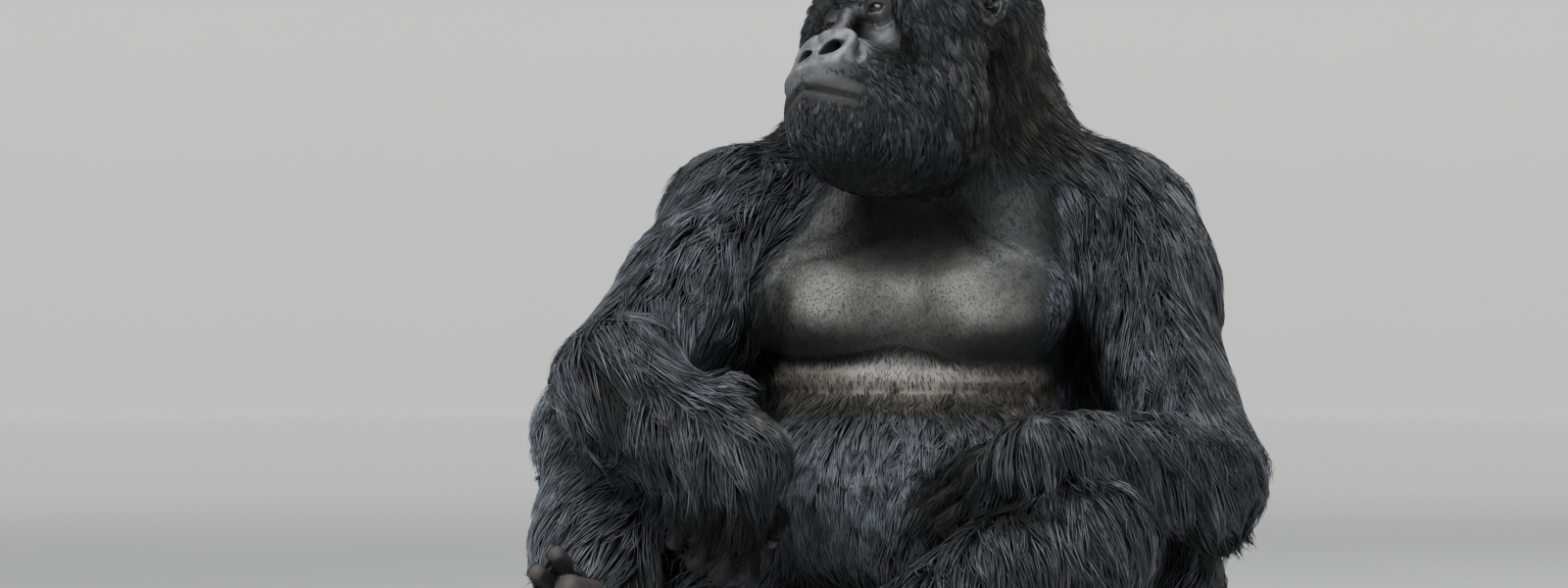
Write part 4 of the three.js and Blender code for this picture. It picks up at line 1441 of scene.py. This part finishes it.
def unwrapped(part, roots):
    """A root's place on its part's skin laid flat: round the part's axis, and along it."""
    line, aside = axis_of(part)
    best, along, angle = np.full(len(roots), 1e9), np.zeros(len(roots)), np.zeros(len(roots))
    for number, (start, end) in enumerate(zip(line[:-1], line[1:])):
        axis = end - start
        away = roots - start
        share = np.clip(away @ axis / (axis @ axis), *AXIS_ENDS[number])
        apart = np.linalg.norm(away - share[:, None] * axis, axis=1)
        side = unit(np.cross(axis, aside))
        turn = np.arctan2(away @ unit(np.cross(axis, side)), away @ side)
        closer = apart < best
        best[closer], along[closer], angle[closer] = apart[closer], (number + share)[closer], turn[closer]
    return np.stack([0.5 + angle / (2 * np.pi) * 0.98, 0.02 + 0.96 * np.clip((along + 0.6) / 3.2, 0, 1)], 1)


def most_face_hair(roots):
    """The greatest length of the hair: short over the mouth and longer towards the cheeks."""
    x, y, z = mirrored_head(roots).T
    height = above_mouth(x, z)
    sideways = np.maximum(x - 44, 0) + 0.5 * np.maximum(y + 150, 0)
    longest = 18 + 0.4 * sideways
    over_mouth = 3 + 0.5 * np.maximum(height, 0) + 0.7 * sideways
    return np.where(height > 0, np.minimum(over_mouth, longest), longest)


def coat_at(part, roots, traits):
    """The coat's depth and the hair's length at each root, shorter by the breast and the strip under it."""
    bare = bare_chest(roots)
    z = into(TRUNK, roots)[:, 2]
    band = bell(z - 372, 22) * (part == "belly")
    coat = traits[:, 0] * (1 - bare) * (1 - 0.5 * band)
    hair = traits[:, 1] * (1 - 0.75 * bare) * (1 - 0.6 * band)
    if part == "face":
        hair = np.minimum(hair, most_face_hair(roots))
    return np.maximum(coat, 1.2), np.maximum(hair, 4)


def map_locks(mesh, part, roots, faces, per_lock, rings):
    """Gives each lock a small patch of its own on the map OFBake."""
    corner = np.array([((v % 3) / 2, (v // 3) / rings) for v in range(per_lock)]) * PATCH
    spot = (unwrapped(part, roots)[:, None] + corner[None]).reshape(-1, 2)
    layer = mesh.uv_layers.new(name="OFBake")
    layer.data.foreach_set("uv", spot[faces.ravel()].astype(np.float32).ravel())


def mark_locks(mesh, part, roots, own, per_lock, rings):
    """Tells the material each lock's tone with its painted light, its painted shade, its place in the coat
    and how far along it a point is.
    """
    count = len(roots)
    bright = rng.random(count) < 0.28
    shade = np.where(bright, rng.uniform(0.55, 1, count), rng.uniform(0, 0.22, count))
    marks = {
        "silver": silver(roots),
        "brown": brown(roots),
        "shade": np.clip(shared(shade, own, 0.5) + COATS[part].tone, 0, 1),
        "painted_shade_open": painted_lightness(roots, normals_at(roots)),
    }
    set_marks(mesh, {name: np.repeat(values, per_lock) for name, values in marks.items()})
    set_marks(mesh, {"along": np.tile([v // 3 / rings for v in range(per_lock)], count)})


def coat_piece(part, roots, traits):
    """One mesh of closed tapered locks."""
    kind = COATS[part]
    coat, hair = coat_at(part, roots, traits)
    own = leaders_of(roots, kind.crowd)
    spines = grow(roots, own, hair, coat, lie_at(roots, traits[:, 2:5]), kind)
    spines = gathered(spines, own, kind)
    size = kind.width * rng.uniform(0.6, 1.25, len(roots)) * np.clip(hair / 40, 0.8, 1.15)
    vertices = lock_vertices(spines, size, kind.form)
    vertices[:, :, 2] = np.maximum(vertices[:, :, 2], 1.0)
    per_lock, rings = vertices.shape[1], len(kind.form.widths)
    first = per_lock * np.arange(len(roots))
    faces = (lock_faces(rings)[None] + first[:, None, None]).reshape(-1, 3)
    mesh = mesh_of("coat_" + part, metres(vertices.reshape(-1, 3)), faces)
    map_locks(mesh, part, roots, faces, per_lock, rings)
    mark_locks(mesh, part, roots, own, per_lock, rings)
    return mesh


def make_coats(skin_mesh):
    """The coat's pieces by name, rooted on the skin."""
    skin_mesh.calc_loop_triangles()
    corners = np.zeros(3 * len(skin_mesh.loop_triangles), np.int32)
    skin_mesh.loop_triangles.foreach_get("vertices", corners)
    corners = corners.reshape(-1, 3)
    points = layout_points(skin_mesh)
    middles = points[corners].mean(1)
    _, _, owner = survey_in_parts(middles)
    part = coat_part(owner, middles)
    made = {}
    for name, kind in COATS.items():
        roots = spots_on(points, corners[part == name], kind.count)
        if name in ("head", "face"):
            roots = roots[rng.random(kind.count) > nakedness(roots)]
        _, traits, _ = survey_in_parts(roots)
        made[name] = coat_piece(name, roots, traits)
    return made


# ---------------------------------------------------------------- eyes and nails


def eyeball(side):
    """An eyeball with a bulging cornea, and on each point its angle from the gaze."""
    bm = bmesh.new()
    bmesh.ops.create_uvsphere(bm, u_segments=48, v_segments=32, radius=EYE_RADIUS)
    mesh = bpy.data.meshes.new("eyeball")
    bm.to_mesh(mesh)
    bm.free()
    points = vertices_of(mesh)
    gaze = unit((0.10 * side - 0.12, -1, -0.06))
    turn = np.arccos(np.clip(unit(points) @ gaze, -1, 1))
    points *= 1 + 0.06 * step(0.6, 0.2, turn)[:, None]
    centre = EYE * np.array([side, 1, 1])
    move_vertices(mesh, out_of(HEAD, points + centre))
    mesh.polygons.foreach_set("use_smooth", np.ones(len(mesh.polygons), bool))
    set_marks(mesh, {"gaze": turn})
    return mesh


NAIL_ROWS, NAIL_COLUMNS = 7, 9


def nail_points(home, side, digit):
    """A thin plate over the back of a digit's last length, bent over its round tip."""
    _, joints, radius = digit
    line = np.array([(x * side, y, z) for x, y, z in joints], float)
    ahead = unit(line[2] - line[1])
    up = np.array([0.0, 0, 1]) if ahead[2] > -0.6 else np.array([0.0, -1, 0])
    up = unit(up - ahead * (up @ ahead))
    across = np.cross(ahead, up)
    points = []
    for height in (0.9, -0.9):
        for tip in np.linspace(-0.55, 0.95, NAIL_ROWS):
            for angle in np.linspace(-0.85, 0.85, NAIL_COLUMNS):
                rim = np.cos(angle) * up + np.sin(angle) * across
                over = max(tip, 0)
                out = np.cos(over) * rim + np.sin(over) * ahead
                points.append(line[2] + ahead * min(tip, 0) * radius + out * (radius * 0.87 + height))
    points = out_of(home, points)
    points[:, 2] = np.maximum(points[:, 2], 0.6)
    return points


def plate_faces(rows, columns):
    """The faces of a thin closed plate made of an upper and a lower sheet."""
    under = rows * columns
    faces = []
    for i in range(rows - 1):
        for k in range(columns - 1):
            a, b = i * columns + k, i * columns + k + 1
            quad = (a, b, b + columns, a + columns)
            faces += [quad, tuple(under + corner for corner in reversed(quad))]
    edge = list(range(columns)) + [(i + 1) * columns - 1 for i in range(1, rows)]
    edge += [(rows - 1) * columns + k for k in range(columns - 2, -1, -1)]
    edge += [i * columns for i in range(rows - 2, 0, -1)]
    for a, b in zip(edge, edge[1:] + edge[:1]):
        faces.append((b, a, a + under, b + under))
    return faces


def nails(word):
    vertices, faces = [], []
    for home, digits in ((HAND[word], FINGERS), (FOOT[word], TOES)):
        for digit in digits:
            points = nail_points(home, SIDES[word], digit)
            start = len(vertices)
            vertices += list(points)
            plate = plate_faces(NAIL_ROWS, NAIL_COLUMNS)
            faces += [tuple(start + corner for corner in face) for face in plate]
    mesh = mesh_of("nails_" + word, metres(vertices), faces)
    bm = bmesh.new()
    bm.from_mesh(mesh)
    bmesh.ops.recalc_face_normals(bm, faces=bm.faces)
    bm.to_mesh(mesh)
    bm.free()
    return mesh


# ---------------------------------------------------------------- the scene


def shown(name, mesh, look, slot=None):
    made = bpy.data.objects.new(name, mesh)
    bpy.context.scene.collection.objects.link(made)
    mesh.materials.append(look)
    if slot is not None:
        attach(made, "root")
    return made


FLOOR_RINGS = (0.01, 1.5, 2.5, 3.5, 5.0, 6.5, 8.0, 10.0, 13.0, 17.0)
WALL_BEND = 1.6
WALL_TOP = 2.6


def make_stage():
    """A round pale floor that curves up, far out, into a low wall, and glows softly away from the model."""
    outline = [(radius, 0.0) for radius in FLOOR_RINGS]
    bends = np.linspace(0.1, np.pi / 2, 10)
    outline += [(FLOOR_RINGS[-1] + WALL_BEND * np.sin(a), WALL_BEND * (1 - np.cos(a))) for a in bends]
    outline += [(FLOOR_RINGS[-1] + WALL_BEND, WALL_TOP)]
    turns = np.linspace(0, 2 * np.pi, 96, endpoint=False)
    vertices = [(radius * np.cos(a), radius * np.sin(a), z) for radius, z in outline for a in turns]
    faces = []
    for ring in range(len(outline) - 1):
        for k in range(len(turns)):
            a, b = ring * len(turns) + k, ring * len(turns) + (k + 1) % len(turns)
            faces.append((a, b, b + len(turns), a + len(turns)))
    mesh = mesh_of("studio_floor", vertices, faces)
    from_middle = np.linalg.norm(np.array(vertices)[:, :2], axis=1)
    set_marks(mesh, {"far": step(2.0, 9.0, from_middle)})
    shown("studio_floor", mesh, stage_material())


# Name, place, size, watts and colour. All of them shine on the middle of the body.
LIGHTS = [
    ("key_light", (-1.9, -3.2, 4.0), 1.9, 175, (1.0, 0.99, 0.97)),
    ("front_light", (-1.7, -4.6, 2.9), 2.6, 150, (1, 1, 1)),
    ("top_light", (0.3, 0.2, 4.2), 2.6, 90, (0.93, 0.97, 1.0)),
    ("fill_light", (3.2, -3.6, 2.0), 2.2, 25, (0.93, 0.97, 1.0)),
    ("rim_light", (2.6, 3.0, 2.6), 1.6, 50, (1, 1, 1)),
]
LIT_SPOT = (0, 0, 0.5)


def add_light(name, place_of, size, power, colour):
    light = bpy.data.lights.new(name, "AREA")
    light.shape = "DISK"
    light.size = size
    light.energy = power
    light.color = colour
    made = bpy.data.objects.new(name, light)
    made.location = place_of
    made.rotation_euler = Vector(np.subtract(LIT_SPOT, place_of)).to_track_quat("-Z", "Y").to_euler()
    bpy.context.scene.collection.objects.link(made)


def make_lights():
    for light in LIGHTS:
        add_light(*light)
    world = bpy.data.worlds.new("studio")
    world.use_nodes = True
    sky = world.node_tree.nodes["Background"]
    sky.inputs["Color"].default_value = (0.80, 0.84, 0.88, 1)
    sky.inputs["Strength"].default_value = 0.13
    bpy.context.scene.world = world


# The camera looks level and straight back, from a long way off, as the photo's did.
CAMERA_SPOT = (-144, -7000, 496)
CAMERA_LENS = 133.5


def make_camera():
    camera = bpy.data.cameras.new("camera")
    camera.sensor_width = 36
    camera.lens = CAMERA_LENS
    camera.clip_end = 60
    made = bpy.data.objects.new("camera", camera)
    made.location = metres(CAMERA_SPOT)
    made.rotation_euler = (np.pi / 2, 0, 0)
    bpy.context.scene.collection.objects.link(made)
    bpy.context.scene.camera = made


make_camera()
make_lights()
make_stage()

skin_mesh = make_skin()
mark_skin(skin_mesh)
skin_piece = shown("skin", skin_mesh, skin_material(), "bare_skin")
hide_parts(*[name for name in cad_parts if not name.startswith("eye")])

coat_look = coat_material()
for part, mesh in make_coats(skin_mesh).items():
    shown("coat_" + part, mesh, coat_look, "coat")

eye_look, nail_look = eye_material(), nail_material()
for word, side in SIDES.items():
    piece = shown("eyeball_" + word, eyeball(side), eye_look, "eye")
    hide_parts("eye_" + word)
    shown("nails_" + word, nails(word), nail_look, "bare_skin")
